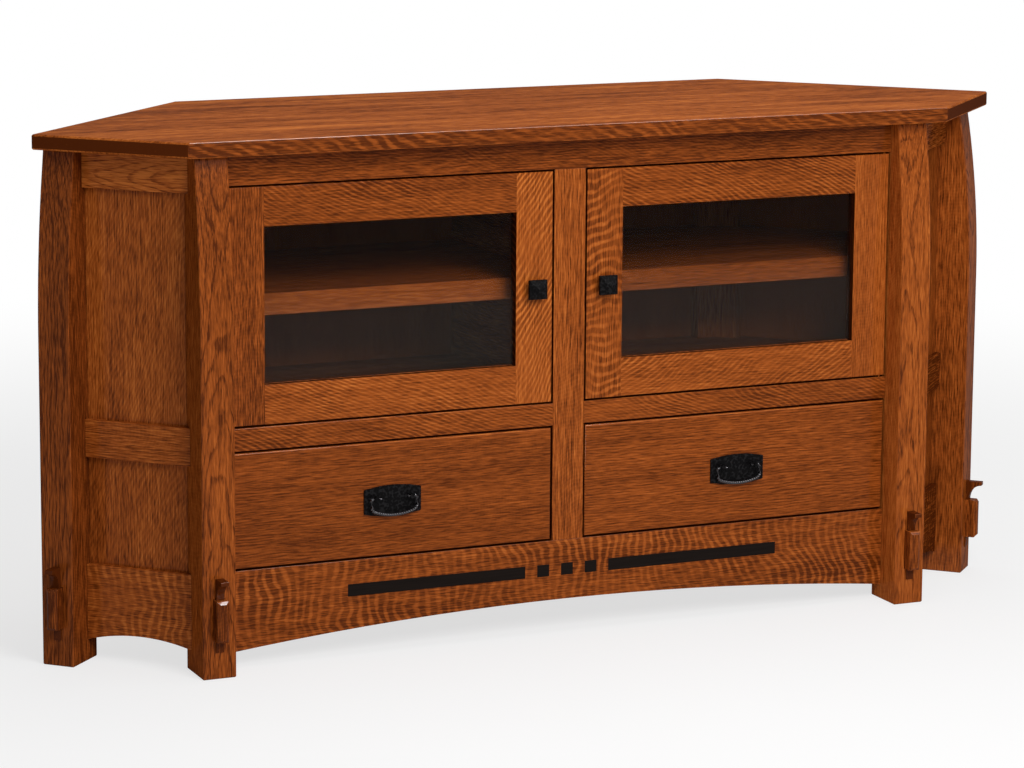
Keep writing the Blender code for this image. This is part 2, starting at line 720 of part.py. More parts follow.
def make_door(side, hand):
    hinge_x = hand * (FRONT_FAR - PIVOT_INSET)
    pivot = empty(f"door_{side}_pivot", (hinge_x, PIVOT_INSET, DOOR_BOTTOM), parent=CASE)
    near, far = sorted((hand * FRONT_NEAR, hand * FRONT_FAR))
    frame = block(f"door_{side}_frame", (near, 0, DOOR_BOTTOM), (far, DOOR_THICKNESS, DOOR_TOP), OAK)
    near, far = near + DOOR_MEMBER_WIDTH, far - DOOR_MEMBER_WIDTH
    low, high = DOOR_BOTTOM + DOOR_MEMBER_WIDTH, DOOR_TOP - DOOR_MEMBER_WIDTH
    window = block(f"door_{side}_window", (near, -REVEAL, low), (far, DOOR_THICKNESS + REVEAL, high))
    bite = GLASS_BITE
    glass = block(
        f"door_{side}_glass",
        (near - bite, GLASS_SETBACK, low - bite),
        (far + bite, GLASS_SETBACK + GLASS_THICKNESS, high + bite),
        SMOKED_GLASS,
    )
    bite = GLASS_BITE + SEAT
    groove = block(
        f"door_{side}_groove",
        (near - bite, GLASS_SETBACK - SEAT, low - bite),
        (far + bite, GLASS_SETBACK + GLASS_THICKNESS + SEAT, high + bite),
    )
    cut(frame, window)
    cut(frame, groove)
    for name, height, direction in (("upper", DOOR_TOP, 1), ("lower", DOOR_BOTTOM, -1)):
        start = (hinge_x, PIVOT_INSET, height - direction * PIVOT_BITE)
        end = (hinge_x, PIVOT_INSET, height + direction * (REVEAL + PIVOT_BITE))
        join(frame, hang_on(rod(f"door_{side}_{name}_pin", PIVOT_RADIUS, start, end), pivot))
    knob = make_knob(side, hand * (FRONT_NEAR + DOOR_MEMBER_WIDTH / 2), (DOOR_BOTTOM + DOOR_TOP) / 2)
    for piece in (frame, window, glass, groove, knob):
        hang_on(piece, pivot)


def make_knob(side, x, z):
    """A square head with a low point, on a round neck."""
    front = -SEAT - KNOB_NECK_LENGTH
    half = KNOB_SIZE / 2
    head = block(f"door_{side}_knob", (x - half, front - KNOB_RIM, z - half), (x + half, front, z + half), BLACK_IRON)
    bm = bmesh.new()
    bm.from_mesh(head.data)
    face = min(bm.faces, key=lambda f: f.calc_center_median().y)
    bmesh.ops.poke(bm, faces=[face], offset=KNOB_POINT)
    bm.to_mesh(head.data)
    bm.free()
    neck = rod(f"door_{side}_knob_neck", KNOB_NECK_RADIUS, (x, -SEAT, z), (x, front - KNOB_RIM / 2, z))
    join(head, neck)
    return head


def make_catch():
    """A double magnetic catch, let into the partition behind the top corners of both doors."""
    top = DOOR_TOP - CATCH_DROP
    low = (-CATCH_REACH, BEHIND_FRAME, top - CATCH_HEIGHT)
    high = (CATCH_REACH, BEHIND_FRAME + CATCH_DEPTH, top)
    block("door_catch", low, high, BLACK_IRON)
    low = (-CATCH_REACH, 0, low[2] - SEAT)
    high = (CATCH_REACH, high[1] + SEAT, top + SEAT)
    return block("catch_notch", low, high)


# Drawers


def make_drawer(side, hand):
    slide = empty(f"drawer_{side}_slide", (hand * FRONT_MIDDLE, 0, BOTTOM_RAIL_TOP), parent=CASE)
    near, far = sorted((hand * FRONT_NEAR, hand * FRONT_FAR))
    front = block(
        f"drawer_{side}_front",
        (near, 0, DRAWER_BOTTOM),
        (far, DRAWER_FRONT_THICKNESS, DRAWER_TOP),
        OAK,
    )
    near, far = sorted((hand * (STILE_EDGE + DRAWER_SIDE_GAP), hand * DRAWER_FAR))
    start, end = DRAWER_FRONT_THICKNESS + SEAT, DRAWER_BACK
    low = BOTTOM_RAIL_TOP + SEAT
    high = low + DRAWER_BOX_HEIGHT
    box = block(f"drawer_{side}_box", (near, start, low), (far, end, high), DRAWER_MAPLE)
    inner_low = (near + DRAWER_WALL, start + DRAWER_WALL)
    inner_high = (far - DRAWER_WALL, end - DRAWER_WALL)
    floor = low + DRAWER_BOTTOM_RISE + DRAWER_BOTTOM_THICKNESS
    inside = block(f"drawer_{side}_inside", (*inner_low, floor), (*inner_high, high + DRAWER_WALL))
    under = block(
        f"drawer_{side}_underside",
        (*inner_low, low - DRAWER_WALL),
        (*inner_high, low + DRAWER_BOTTOM_RISE),
    )
    half = GUIDE_WIDTH / 2
    middle = hand * FRONT_MIDDLE
    notch = block(
        f"drawer_{side}_notch",
        (middle - half - GUIDE_CLEARANCE, end - 2 * DRAWER_WALL, low - DRAWER_WALL),
        (middle + half + GUIDE_CLEARANCE, end + DRAWER_WALL, low + GUIDE_HEIGHT + GUIDE_CLEARANCE),
    )
    for cutter in (inside, under, notch):
        cut(box, cutter)
        hang_on(cutter, slide)
    for piece in (front, box):
        hang_on(piece, slide)
    block(
        f"drawer_guide_{side}",
        (middle - half, start + DRAWER_WALL + SEAT, BOTTOM_RAIL_TOP + SEAT),
        (middle + half, BACK_INSIDE - SEAT, BOTTOM_RAIL_TOP + GUIDE_HEIGHT),
        INSIDE_OAK,
    )
    make_pull(side, middle, (DRAWER_BOTTOM + DRAWER_TOP) / 2 - PULL_DROP, slide)


def plate_outline():
    """A plate with upright ends and a top and bottom that curve outwards."""
    end = PLATE_END_HEIGHT / 2
    upper = arch(PLATE_WIDTH, end, end + PLATE_RISE, PLATE_ARC_STEPS)
    return upper + [(-x, -z) for x, z in upper]


def make_pull(side, x, z, slide):
    """A back plate with two posts, and a bail that swings in them."""
    face = -SEAT - PLATE_THICKNESS
    plate = front_board(f"drawer_{side}_pull_plate", plate_outline(), (x, z), face, -SEAT, BLACK_IRON)
    axis_y, axis_z = face - POST_LENGTH + POST_RADIUS, z + POST_RISE
    swing = empty(f"drawer_{side}_bail_axis", (x, axis_y, axis_z))
    hang_on(swing, slide)
    bpy.context.view_layer.update()
    for name, hand in HANDS:
        post_x = x + hand * POST_SPACING / 2
        post = rod(
            f"drawer_{side}_post_{name}",
            POST_RADIUS,
            (post_x, face + PLATE_THICKNESS / 2, axis_z),
            (post_x, face - POST_LENGTH, axis_z),
        )
        reach = 2 * POST_RADIUS
        bore = rod(
            f"drawer_{side}_post_bore_{name}",
            BAIL_RADIUS + SEAT,
            (post_x - reach, axis_y, axis_z),
            (post_x + reach, axis_y, axis_z),
        )
        join(plate, hang_on(post, slide))
        cut(plate, hang_on(bore, slide))
    hang_on(plate, slide)
    make_bail(side, swing)


def bend(centre, radius, start, end, steps):
    """Points along an arc about a centre, from one angle to another."""
    turns = [start + (end - start) * n / steps for n in range(steps + 1)]
    return [(centre[0] + radius * math.cos(t), centre[1] + radius * math.sin(t)) for t in turns]


def bail_route():
    """The bail's centre line in X and Z: two ends level in the posts, upright sides, two round
    lower corners and a shallow arc along the bottom."""
    upper = (BAIL_HALF_WIDTH - BAIL_UPPER_BEND, -BAIL_UPPER_BEND)
    corner_x = BAIL_HALF_WIDTH - BAIL_LOWER_BEND
    radius = BAIL_LOWER_BEND + corner_x / math.cos(BAIL_LOWER_TURN)
    centre = (0, radius - BAIL_DROP)
    lower = (corner_x, centre[1] - (radius - BAIL_LOWER_BEND) * math.sin(BAIL_LOWER_TURN))
    half = [(BAIL_START, 0)]
    half += bend(upper, BAIL_UPPER_BEND, math.pi / 2, 0, BAIL_STEPS)
    half += bend(lower, BAIL_LOWER_BEND, 0, -BAIL_LOWER_TURN, BAIL_STEPS)
    half += bend(centre, radius, -BAIL_LOWER_TURN, -math.pi / 2, BAIL_STEPS)[1:]
    return half + [(-x, z) for x, z in reversed(half[:-1])]


def make_bail(side, swing):
    """A round rod bent into a shallow loop, with its ends turned in through the posts."""
    curve = bpy.data.curves.new(f"drawer_{side}_bail", "CURVE")
    curve.dimensions = "3D"
    curve.bevel_depth = BAIL_RADIUS
    curve.bevel_resolution = 2
    curve.use_fill_caps = True
    route = bail_route()
    spline = curve.splines.new("POLY")
    spline.points.add(len(route) - 1)
    for point, (x, z) in zip(spline.points, route):
        point.co = (x, 0, z, 1)
    mesh = curve_mesh(curve)
    mesh.shade_smooth()
    place(mesh, f"drawer_{side}_bail", BLACK_IRON, swing, (0, 0, 0))


def make_cabinet():
    frames = {}
    for side, hand in HANDS:
        start = (hand * LEG_OUTSIDE, SIDE_SETBACK, 0)
        frames[side] = empty(f"side_frame_{side}", start, hand * math.pi / 4, CASE)
    make_top()
    make_front_frame()
    make_back_panel()
    make_decks(frames)
    cut(make_partition(), make_catch())
    make_shelves(frames)
    for side, hand in HANDS:
        make_legs(side, hand, frames[side])
        make_side_frame(side, hand, frames[side])
        make_back(side, hand)
        make_door(side, hand)
        make_drawer(side, hand)


make_cabinet()
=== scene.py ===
"""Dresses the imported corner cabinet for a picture: stained oak boards with their own grain, smoked
glass, black hammered hardware, a plain floor and soft light."""

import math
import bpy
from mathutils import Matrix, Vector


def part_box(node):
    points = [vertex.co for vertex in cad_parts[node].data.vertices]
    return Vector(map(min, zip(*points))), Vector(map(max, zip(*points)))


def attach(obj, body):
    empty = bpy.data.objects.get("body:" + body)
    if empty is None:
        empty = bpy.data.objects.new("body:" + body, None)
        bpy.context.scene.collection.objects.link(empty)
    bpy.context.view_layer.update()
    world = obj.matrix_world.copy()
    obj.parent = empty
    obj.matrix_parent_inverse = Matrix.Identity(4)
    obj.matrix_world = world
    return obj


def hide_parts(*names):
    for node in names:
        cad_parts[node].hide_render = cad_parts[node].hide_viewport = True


bl_info = {
    "name": "Corner Cabinet Dressing",
    "version": (1, 0, 0),
    "blender": (4, 5, 0),
    "location": "View3D > Sidebar > Cabinet",
    "description": "Gives a corner cabinet its boards, glass, hardware and stage",
    "category": "Object",
}

import bmesh
import bpy
from bpy.props import FloatProperty, FloatVectorProperty, IntProperty, PointerProperty
from bpy.types import Operator, Panel, PropertyGroup
from mathutils import Matrix, Vector

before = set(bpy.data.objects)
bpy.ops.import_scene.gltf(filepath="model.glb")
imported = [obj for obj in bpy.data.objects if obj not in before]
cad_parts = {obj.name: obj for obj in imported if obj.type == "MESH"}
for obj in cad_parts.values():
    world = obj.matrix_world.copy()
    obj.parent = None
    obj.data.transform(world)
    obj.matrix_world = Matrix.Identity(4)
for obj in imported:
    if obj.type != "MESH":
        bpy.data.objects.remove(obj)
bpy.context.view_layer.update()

SIDES = (("left", -1), ("right", 1))
X, Y, Z = Vector((1, 0, 0)), Vector((0, 1, 0)), Vector((0, 0, 1))
FRONT = -Y
WHITE = (1, 1, 1, 1)
# How near a point has to be to a plane to count as in it, in metres.
NEAR = 1e-5
# Radius of the rounding on the edges of each kind of piece, in metres. Every other board has the
# one in OakSettings.
ARRIS = {
    "top": 0.0015,
    "leg": 0.0006,
    "tenon": 0.0005,
    "key": 0.0004,
    "mid_rail": 0.0015,
    "door": 0.0016,
    "knob": 0.0008,
    "catch": 0.001,
    "drawer": 0.0022,
    "box": 0.0006,
    "plate": 0.0006,
}


# Sizes and colours


class OakSettings(PropertyGroup):
    dark: FloatVectorProperty(
        name="Dark stain",
        description="Colour of the stain in the pores and the early wood",
        subtype="COLOR",
        min=0,
        max=1,
        default=(0.086, 0.0175, 0.0030),
    )
    light: FloatVectorProperty(
        name="Light stain",
        description="Colour of the stain on the late wood",
        subtype="COLOR",
        min=0,
        max=1,
        default=(0.58, 0.168, 0.030),
    )
    middle: FloatVectorProperty(
        name="Middle stain",
        description="Colour of the stain over most of the board",
        subtype="COLOR",
        min=0,
        max=1,
        default=(0.32, 0.074, 0.0112),
    )
    ring: FloatProperty(
        name="Ring spacing",
        description="Distance between two growth rings",
        subtype="DISTANCE",
        unit="LENGTH",
        default=0.0042,
        min=0.001,
    )
    roughness: FloatProperty(
        name="Roughness",
        description="Roughness of the satin finish between the pores",
        subtype="FACTOR",
        default=0.40,
        min=0,
        max=1,
    )
    arris: FloatProperty(
        name="Arris",
        description="Radius of the rounding on the boards' edges",
        subtype="DISTANCE",
        unit="LENGTH",
        default=0.0005,
        min=0.0001,
    )


class DrawerWoodSettings(PropertyGroup):
    dark: FloatVectorProperty(
        name="Dark wood",
        description="Colour of the pores in the drawer's wood",
        subtype="COLOR",
        min=0,
        max=1,
        default=(0.30, 0.18, 0.085),
    )
    middle: FloatVectorProperty(
        name="Middle wood",
        description="Colour of most of the drawer's wood",
        subtype="COLOR",
        min=0,
        max=1,
        default=(0.60, 0.41, 0.21),
    )
    light: FloatVectorProperty(
        name="Light wood",
        description="Colour of the palest part of the drawer's wood",
        subtype="COLOR",
        min=0,
        max=1,
        default=(0.70, 0.52, 0.30),
    )
    ring: FloatProperty(
        name="Ring spacing",
        description="Distance between two growth rings",
        subtype="DISTANCE",
        unit="LENGTH",
        default=0.0055,
        min=0.001,
    )
    roughness: FloatProperty(
        name="Roughness",
        description="Roughness of the clear finish",
        subtype="FACTOR",
        default=0.45,
        min=0,
        max=1,
    )


class HardwareSettings(PropertyGroup):
    colour: FloatVectorProperty(
        name="Iron colour",
        description="Colour of the black hardware",
        subtype="COLOR",
        min=0,
        max=1,
        default=(0.0018, 0.0015, 0.0017),
    )
    # Colour of wear on the bail, and of the light spots on the dimples' high places, which are wear
    # and painted glints.
    wear_and_glint: FloatVectorProperty(
        name="Worn colour",
        description="Colour of the hardware where hands have rubbed it",
        subtype="COLOR",
        min=0,
        max=1,
        default=(0.060, 0.057, 0.060),
    )
    dimple: FloatProperty(
        name="Dimple",
        description="Width of a hammer dimple",
        subtype="DISTANCE",
        unit="LENGTH",
        default=0.0034,
        min=0.0005,
    )
    twists: IntProperty(
        name="Twists",
        description="Turns of the square bar along each bail",
        default=9,
        min=0,
    )


class GlassSettings(PropertyGroup):
    tint: FloatVectorProperty(
        name="Tint",
        description="Colour of the smoked glass",
        subtype="COLOR",
        min=0,
        max=1,
        default=(0.007, 0.005, 0.004),
    )
    # The paler, greyer lower half of the glass is a painted reflection of the pale floor.
    painted_reflection: FloatVectorProperty(
        name="Reflection",
        description="Colour of the thin dust on the lower half of the glass",
        subtype="COLOR",
        min=0,
        max=1,
        default=(0.060, 0.050, 0.042),
    )
    painted_reflection_height: FloatProperty(
        name="Dust height",
        description="Height above the floor up to which the dust lies",
        unit="LENGTH",
        default=0.545,
        min=0,
        soft_max=0.8,
    )
    density: FloatProperty(
        name="Density",
        description="Share of the light that each face of the glass stops",
        subtype="FACTOR",
        default=0.13,
        min=0,
        max=1,
    )


class StageSettings(PropertyGroup):
    camera_place: FloatVectorProperty(
        name="Camera place",
        description="Where the camera stands",
        subtype="TRANSLATION",
        unit="LENGTH",
        default=(-2.2487, -5.0838, 1.4444),
    )
    yaw: FloatProperty(
        name="Yaw",
        description="Turn of the camera from straight ahead towards the right",
        subtype="ANGLE",
        default=math.radians(23.753),
    )
    pitch: FloatProperty(
        name="Pitch",
        description="Tilt of the camera, below zero for downwards",
        subtype="ANGLE",
        default=math.radians(-9.737),
    )
    roll: FloatProperty(
        name="Roll",
        description="Turn of the camera about its own line of sight",
        subtype="ANGLE",
        default=math.radians(0.359),
    )
    lens: FloatProperty(
        name="Lens",
        description="Focal length on a sensor 36 mm wide",
        subtype="DISTANCE_CAMERA",
        unit="CAMERA",
        default=125.62,
    )
    shift: FloatProperty(
        name="Shift",
        description="Shift of the lens upwards, as a share of the picture's width",
        default=-0.0801,
    )
    key: FloatProperty(
        name="Key light",
        description="Power of the large light beside the camera",
        subtype="POWER",
        default=54.0,
        min=0,
    )
    overhead: FloatProperty(
        name="Overhead light",
        description="Power of the light above the cabinet",
        subtype="POWER",
        default=46.0,
        min=0,
    )
    ambient: FloatProperty(
        name="Ambient light",
        description="Strength of the even light from all round",
        default=0.15,
        min=0,
    )


# Node trees


class Graph:
    """Adds shader nodes to a tree and links them up."""

    def __init__(self, tree):
        self.tree = tree

    def feed(self, node, values):
        """Sets a node's inputs, and links those whose value is another node's output."""
        for key, value in values.items():
            if isinstance(value, bpy.types.NodeSocket):
                self.tree.links.new(value, node.inputs[key])
            else:
                node.inputs[key].default_value = value

    def add(self, kind, values=None, **settings):
        node = self.tree.nodes.new("ShaderNode" + kind)
        for name, value in settings.items():
            setattr(node, name, value)
        self.feed(node, values or {})
        return node

    def math(self, operation, *values):
        return self.add("Math", dict(enumerate(values)), operation=operation).outputs[0]

    def place(self):
        return self.add("TexCoord").outputs["Object"]

    def speckle(self, place, scale, detail=3.0):
        return self.add("TexNoise", {"Vector": place, "Scale": scale, "Detail": detail}).outputs[0]

    def mix(self, factor, first, second, blend="MIX"):
        values = {0: factor, 6: first, 7: second}
        return self.add("Mix", values, data_type="RGBA", blend_type=blend).outputs[2]

    def step(self, value, low, high):
        """0 below low and 1 above high, and smooth between them."""
        values = {"Value": value, "From Min": low, "From Max": high}
        return self.add("MapRange", values, interpolation_type="SMOOTHSTEP").outputs[0]


def opaque(colour):
    return (*colour, 1.0)


def group_tree(name, inputs, outputs):
    """A new node group, what it is given, and its output node."""
    tree = bpy.data.node_groups.new(name, "ShaderNodeTree")
    for direction, sockets in (("INPUT", inputs), ("OUTPUT", outputs)):
        for socket, kind in sockets.items():
            tree.interface.new_socket(socket, in_out=direction, socket_type="NodeSocket" + kind)
    return tree, tree.nodes.new("NodeGroupInput").outputs, tree.nodes.new("NodeGroupOutput")


# How far apart the noise lies for two boards, and for two staves of one board.
BOARD_STEP, STAVE_STEP = 5.3, 3.7
# The oak group's sockets that a cut of the board sets, by the cut's own word.
FIGURE = {
    "side": "Pith Side",
    "depth": "Pith Depth",
    "stave": "Stave",
    "line": "Line",
    "streak": "Streak",
    "mottle": "Mottle",
    "ripple": "Ripple",
    "pitch": "Pitch",
    "slant": "Slant",
    "tone": "Tone",
}


class StaveGraph(Graph):
    """A graph that knows a point's place in its stave, and the stave's own seed and chances."""

    def __init__(self, tree, given):
        super().__init__(tree)
        place = self.add("SeparateXYZ", {0: given["Board"]}).outputs
        self.along, across, self.out = place[0], place[1], place[2]
        stave = self.math("DIVIDE", across, given["Stave"])
        stave = self.math("FLOOR", self.math("ADD", stave, 0.5))
        self.across = self.math("SUBTRACT", across, self.math("MULTIPLY", stave, given["Stave"]))
        self.seed = self.math("MULTIPLY_ADD", stave, STAVE_STEP, given["Seed"])
        chance = self.add("TexWhiteNoise", {"W": self.seed}, noise_dimensions="1D")
        self.chance = self.add("SeparateColor", {0: chance.outputs["Color"]}).outputs
        self.sway = self.cloud(2.6, 9.0)

    def cloud(self, per_metre_along, per_metre_across, shift=0.0, detail=2.0, roughness=0.5):
        """Noise round 0, drawn out along the grain. The shift keeps two clouds apart."""
        spread = {
            0: self.math("MULTIPLY", self.along, per_metre_along),
            1: self.math("MULTIPLY", self.across, per_metre_across),
            2: self.math("MULTIPLY", self.out, per_metre_across),
        }
        values = {
            "Vector": self.add("CombineXYZ", spread).outputs[0],
            "W": self.math("ADD", self.seed, shift),
            "Scale": 1.0,
            "Detail": detail,
            "Roughness": roughness,
        }
        noise = self.add("TexNoise", values, noise_dimensions="4D").outputs[0]
        return self.math("SUBTRACT", noise, 0.5)


def early_wood(g, given, ring):
    """1 in the porous wood at the start of each growth ring and 0 past it. The pith's side and
    the log's lean differ a little from stave to stave."""
    side_spread, lean_spread, least_lean = 0.06, 0.10, -0.02
    sway_push, curl_push, jag_push = 0.034, 0.010, 0.0018
    side = g.math("SUBTRACT", g.chance[0], 0.5)
    side = g.math("MULTIPLY_ADD", side, side_spread, given["Pith Side"])
    lean = g.math("MULTIPLY_ADD", g.chance[1], lean_spread, least_lean)
    curl = g.cloud(9.0, 30.0, 2.0)
    jag = g.cloud(60.0, 240.0, 3.0, 1.0)
    ring_y = g.math("ADD", g.math("ADD", g.across, side), g.math("MULTIPLY", curl, curl_push))
    ring_z = g.math("ADD", g.out, given["Pith Depth"])
    ring_z = g.math("ADD", ring_z, g.math("MULTIPLY", g.along, lean))
    ring_z = g.math("MULTIPLY_ADD", curl, curl_push, ring_z)
    ring_z = g.math("MULTIPLY_ADD", g.sway, sway_push, ring_z)
    squares = [g.math("MULTIPLY", value, value) for value in (ring_y, ring_z)]
    radius = g.math("MULTIPLY_ADD", jag, jag_push, g.math("SQRT", g.math("ADD", *squares)))
    age = g.math("FRACT", g.math("DIVIDE", radius, ring))
    ending = g.math("SUBTRACT", 1.0, g.step(age, 0.90, 1.0))
    return g.math("MULTIPLY", g.step(age, 0.62, 0.86), ending)


def ray_ripple(g, given):
    """Waves across the grain with light crests, bent, torn up, and stronger in some clumps."""
    sway_push, bend, tear = 0.12, 2.2, 2.4
    slide = g.math("MULTIPLY_ADD", g.sway, sway_push, g.along)
    slide = g.math("MULTIPLY_ADD", g.across, given["Slant"], slide)
    turns = g.math("DIVIDE", slide, given["Pitch"])
    turns = g.math("MULTIPLY_ADD", g.cloud(14.0, 22.0, 12.0), bend, turns)
    wave = g.math("SINE", g.math("MULTIPLY", turns, 2 * math.pi))
    torn = g.math("MULTIPLY_ADD", g.cloud(80.0, 150.0, 9.0), tear, wave)
    crest = g.math("MULTIPLY_ADD", g.step(torn, -0.4, 1.1), 2.0, -0.75)
    clump = g.math("MULTIPLY_ADD", g.step(g.cloud(8.0, 16.0, 8.0), -0.14, 0.16), 0.7, 0.3)
    return g.math("MULTIPLY", g.math("MULTIPLY", crest, clump), given["Ripple"])


def oak_tree(look):
    """Stained oak through the whole board. Board is a place in metres: X along the grain, Y
    across the face and Z out of it. The pith of the log lies Pith Depth below the face and
    Pith Side to one side, so a near pith gives cathedrals and a far one straight grain. Ripple
    is the ray figure that runs across the grain, Pitch apart and at a Slant to it."""
    inputs = {"Board": "Vector", "Seed": "Float", **dict.fromkeys(FIGURE.values(), "Float")}
    outputs = {"Color": "Color", "Roughness": "Float", "Height": "Float"}
    tree, given, result = group_tree("stained_oak_figure", inputs, outputs)
    # How much each mark lightens or darkens the wood between the dark stain, 0, and the light, 1.
    plain_tone, stave_shade, line_shade, ripple_shade = 0.55, 0.14, -0.34, 0.22
    pore_shade, dash_shade, fibre_shade = -0.16, 2.2, 1.1
    g = StaveGraph(tree, given)
    ripple = ray_ripple(g, given)

    # Pores, and the dashes and fibres between them. The pores break the ring lines up.
    fleck = g.cloud(70.0, 800.0, 5.0, 1.0)
    pores = g.step(fleck, 0.05, 0.16)
    broken = g.math("MULTIPLY_ADD", g.step(fleck, -0.10, 0.10), 0.55, 0.45)
    line = g.math("MULTIPLY", early_wood(g, given, look.ring), broken)
    dash = g.cloud(50.0, 640.0, 4.0)
    fibre = g.cloud(9.0, 420.0, 6.0, 4.0, 0.65)
    streaks = g.math("MULTIPLY_ADD", dash, dash_shade, g.math("MULTIPLY", pores, pore_shade))
    streaks = g.math("MULTIPLY_ADD", fibre, fibre_shade, streaks)
    mottle = g.cloud(3.5, 32.0, 10.0, 3.0)

    tone = g.math("MULTIPLY_ADD", streaks, given["Streak"], plain_tone)
    tone = g.math("MULTIPLY_ADD", mottle, given["Mottle"], tone)
    tone = g.math("MULTIPLY_ADD", g.math("MULTIPLY", line, given["Line"]), line_shade, tone)
    tone = g.math("MULTIPLY_ADD", ripple, ripple_shade, tone)
    tone = g.math("MULTIPLY_ADD", g.math("SUBTRACT", g.chance[2], 0.5), stave_shade, tone)
    ramp = g.add("ValToRGB", {0: g.math("ADD", tone, given["Tone"])})
    stops = ramp.color_ramp.elements
    stops[0].color, stops[1].color = opaque(look.dark), opaque(look.light)
    stops.new(0.5).color = opaque(look.middle)

    rough = g.math("MULTIPLY_ADD", pores, 0.22, look.roughness)
    rough = g.math("MULTIPLY_ADD", ripple, -0.05, rough)
    height = g.math("MULTIPLY_ADD", pores, -0.6, g.math("MULTIPLY", line, -0.6))
    g.feed(result, {"Color": ramp.outputs[0], "Roughness": rough, "Height": height})
    return tree


def surface(name):
    """A new material, its graph and its Principled shader."""
    material = bpy.data.materials.new(name)
    material.use_nodes = True
    graph = Graph(material.node_tree)
    return material, graph, material.node_tree.nodes["Principled BSDF"]


def bump(g, height, strength, distance):
    values = {"Height": height, "Strength": strength, "Distance": distance}
    return g.add("Bump", values).outputs[0]


class Oak:
    """Makes each board a material of its own. The count of boards seeds its figure."""

    trees = {}
    count = 0
    arrises = {}

    # The pith's side and depth and a stave's width, in metres. The strengths of the ring lines,
    # streaks, mottling and ripple. The ripple's pitch in metres and its slant. The tone, the share
    # of its colour that painted shade leaves it, the varnish's weight, and its refraction.
    STRAIGHT = dict(
        side=0.22,
        depth=0.05,
        stave=9.0,
        line=0.8,
        streak=0.75,
        mottle=0.5,
        ripple=0.15,
        pitch=0.006,
        slant=0.3,
        tone=0.0,
        shade_kept=1.0,
        gloss=0.1,
        depth_of_gloss=1.5,
    )
    CALM = dict(STRAIGHT, line=0.25, streak=0.5, mottle=0.4, ripple=0.05)
    PLAIN = dict(STRAIGHT, side=0.012, depth=0.020, line=1.05, streak=0.6, ripple=0.0)
    QUARTERED = dict(
        STRAIGHT, side=0.30, line=0.35, streak=0.5, ripple=1.0, pitch=0.0135, slant=2.2
    )
    TIGER = dict(QUARTERED, line=0.4, streak=0.6, ripple=0.95, pitch=0.0145, slant=0.15)
    TOP = dict(STRAIGHT, stave=0.105, line=0.7, streak=0.85, mottle=1.3, gloss=0.035)
    TOP_EDGE = dict(
        STRAIGHT, line=0.4, streak=0.5, mottle=0.3, ripple=0.8, pitch=0.030, slant=1.9, tone=-0.38
    )
    # Painted shade for an edge that looks into a gap, in place of its board's own: darker and
    # duller.
    GAP_SHADE = dict(tone=-0.42, shade_kept=0.4, gloss=0.02)

    @classmethod
    def board(cls, name, middle, along, face, cut, wood="oak", **changes):
        """Along is the way the grain runs, and face the way the good face looks."""
        cut = {**cut, **changes}
        cls.count += 1
        material, g, shader = surface(name)
        turn = Matrix((along, face.cross(along), face))
        values = {"Vector": g.place(), "Rotation": turn.to_euler(), "Location": -(turn @ middle)}
        values = {"Board": g.add("Mapping", values).outputs[0], "Seed": BOARD_STEP * cls.count}
        values.update((socket, cut[word]) for word, socket in FIGURE.items())
        figure = g.add("Group", values, node_tree=cls.trees[wood]).outputs
        # A share below 1 darkens the colour as painted shade.
        shade_kept = opaque([cut["shade_kept"]] * 3)
        values = {
            "Base Color": g.mix(1.0, figure["Color"], shade_kept, "MULTIPLY"),
            "Roughness": figure["Roughness"],
            "Normal": bump(g, figure["Height"], 0.5, 0.00012),
            "Specular IOR Level": 0.0,
            "Coat Weight": cut["gloss"],
            "Coat Roughness": 0.16,
            "Coat IOR": cut["depth_of_gloss"],
        }
        g.feed(shader, values)
        return material

    @classmethod
    def lit_arris(cls, gloss):
        """A glossier varnish along an arris that faces up, in the plain tone: on a darker board the
        arris is lighter, a painted highlight.
        """
        if gloss not in cls.arrises:
            name = f"lit_arris_oak_{len(cls.arrises) + 1}"
            cut = dict(cls.STRAIGHT, gloss=gloss, depth_of_gloss=2.2)
            cls.arrises[gloss] = cls.board(name, Vector(), X, FRONT, cut)
        return cls.arrises[gloss]


def hammered_iron(name, look, polish=0.0):
    """Black hardware with hammer dimples, with lighter spots on its high places: a little wear and
    painted glints. Polish, up to 1, is what hands do to a handle."""
    material, g, shader = surface(name)
    place = g.place()
    values = {"Vector": place, "Scale": 1.0 / look.dimple, "Smoothness": 0.6}
    dimples = g.add("TexVoronoi", values, feature="SMOOTH_F1").outputs["Distance"]
    patch = g.speckle(place, 160.0, 2.0)
    height = g.math("MULTIPLY_ADD", g.speckle(place, 1400.0), 0.2, dimples)
    # Lighter spots on the dimples' high places: a little wear and painted glints.
    wear_and_glint = g.step(g.math("MULTIPLY_ADD", patch, 0.5, dimples), 0.72, 0.98)
    wear_and_glint = g.math("MULTIPLY_ADD", wear_and_glint, 0.16, polish)
    values = {
        "Base Color": g.mix(wear_and_glint, opaque(look.colour), opaque(look.wear_and_glint)),
        "Roughness": g.math("MULTIPLY_ADD", patch, 0.30, 0.28 - 0.20 * polish),
        "Normal": bump(g, height, 0.8 - 0.6 * polish, 0.0007),
        "Metallic": polish,
        "Specular IOR Level": 0.05,
    }
    g.feed(shader, values)
    return material


def ebonised(name):
    """Black-dyed wood with fine straight grain."""
    dark, light = (0.0035, 0.0025, 0.002), (0.016, 0.011, 0.009)
    material, g, shader = surface(name)
    values = {"Vector": g.place(), "Scale": (14.0, 700.0, 700.0)}
    grain = g.speckle(g.add("Mapping", values).outputs[0], 1.0, 4.0)
    values = {
        "Base Color": g.mix(grain, opaque(dark), opaque(light)),
        "Roughness": g.math("MULTIPLY_ADD", grain, 0.25, 0.38),
        "Normal": bump(g, grain, 0.3, 0.0001),
        "Specular IOR Level": 0.03,
    }
    g.feed(shader, values)
    return material


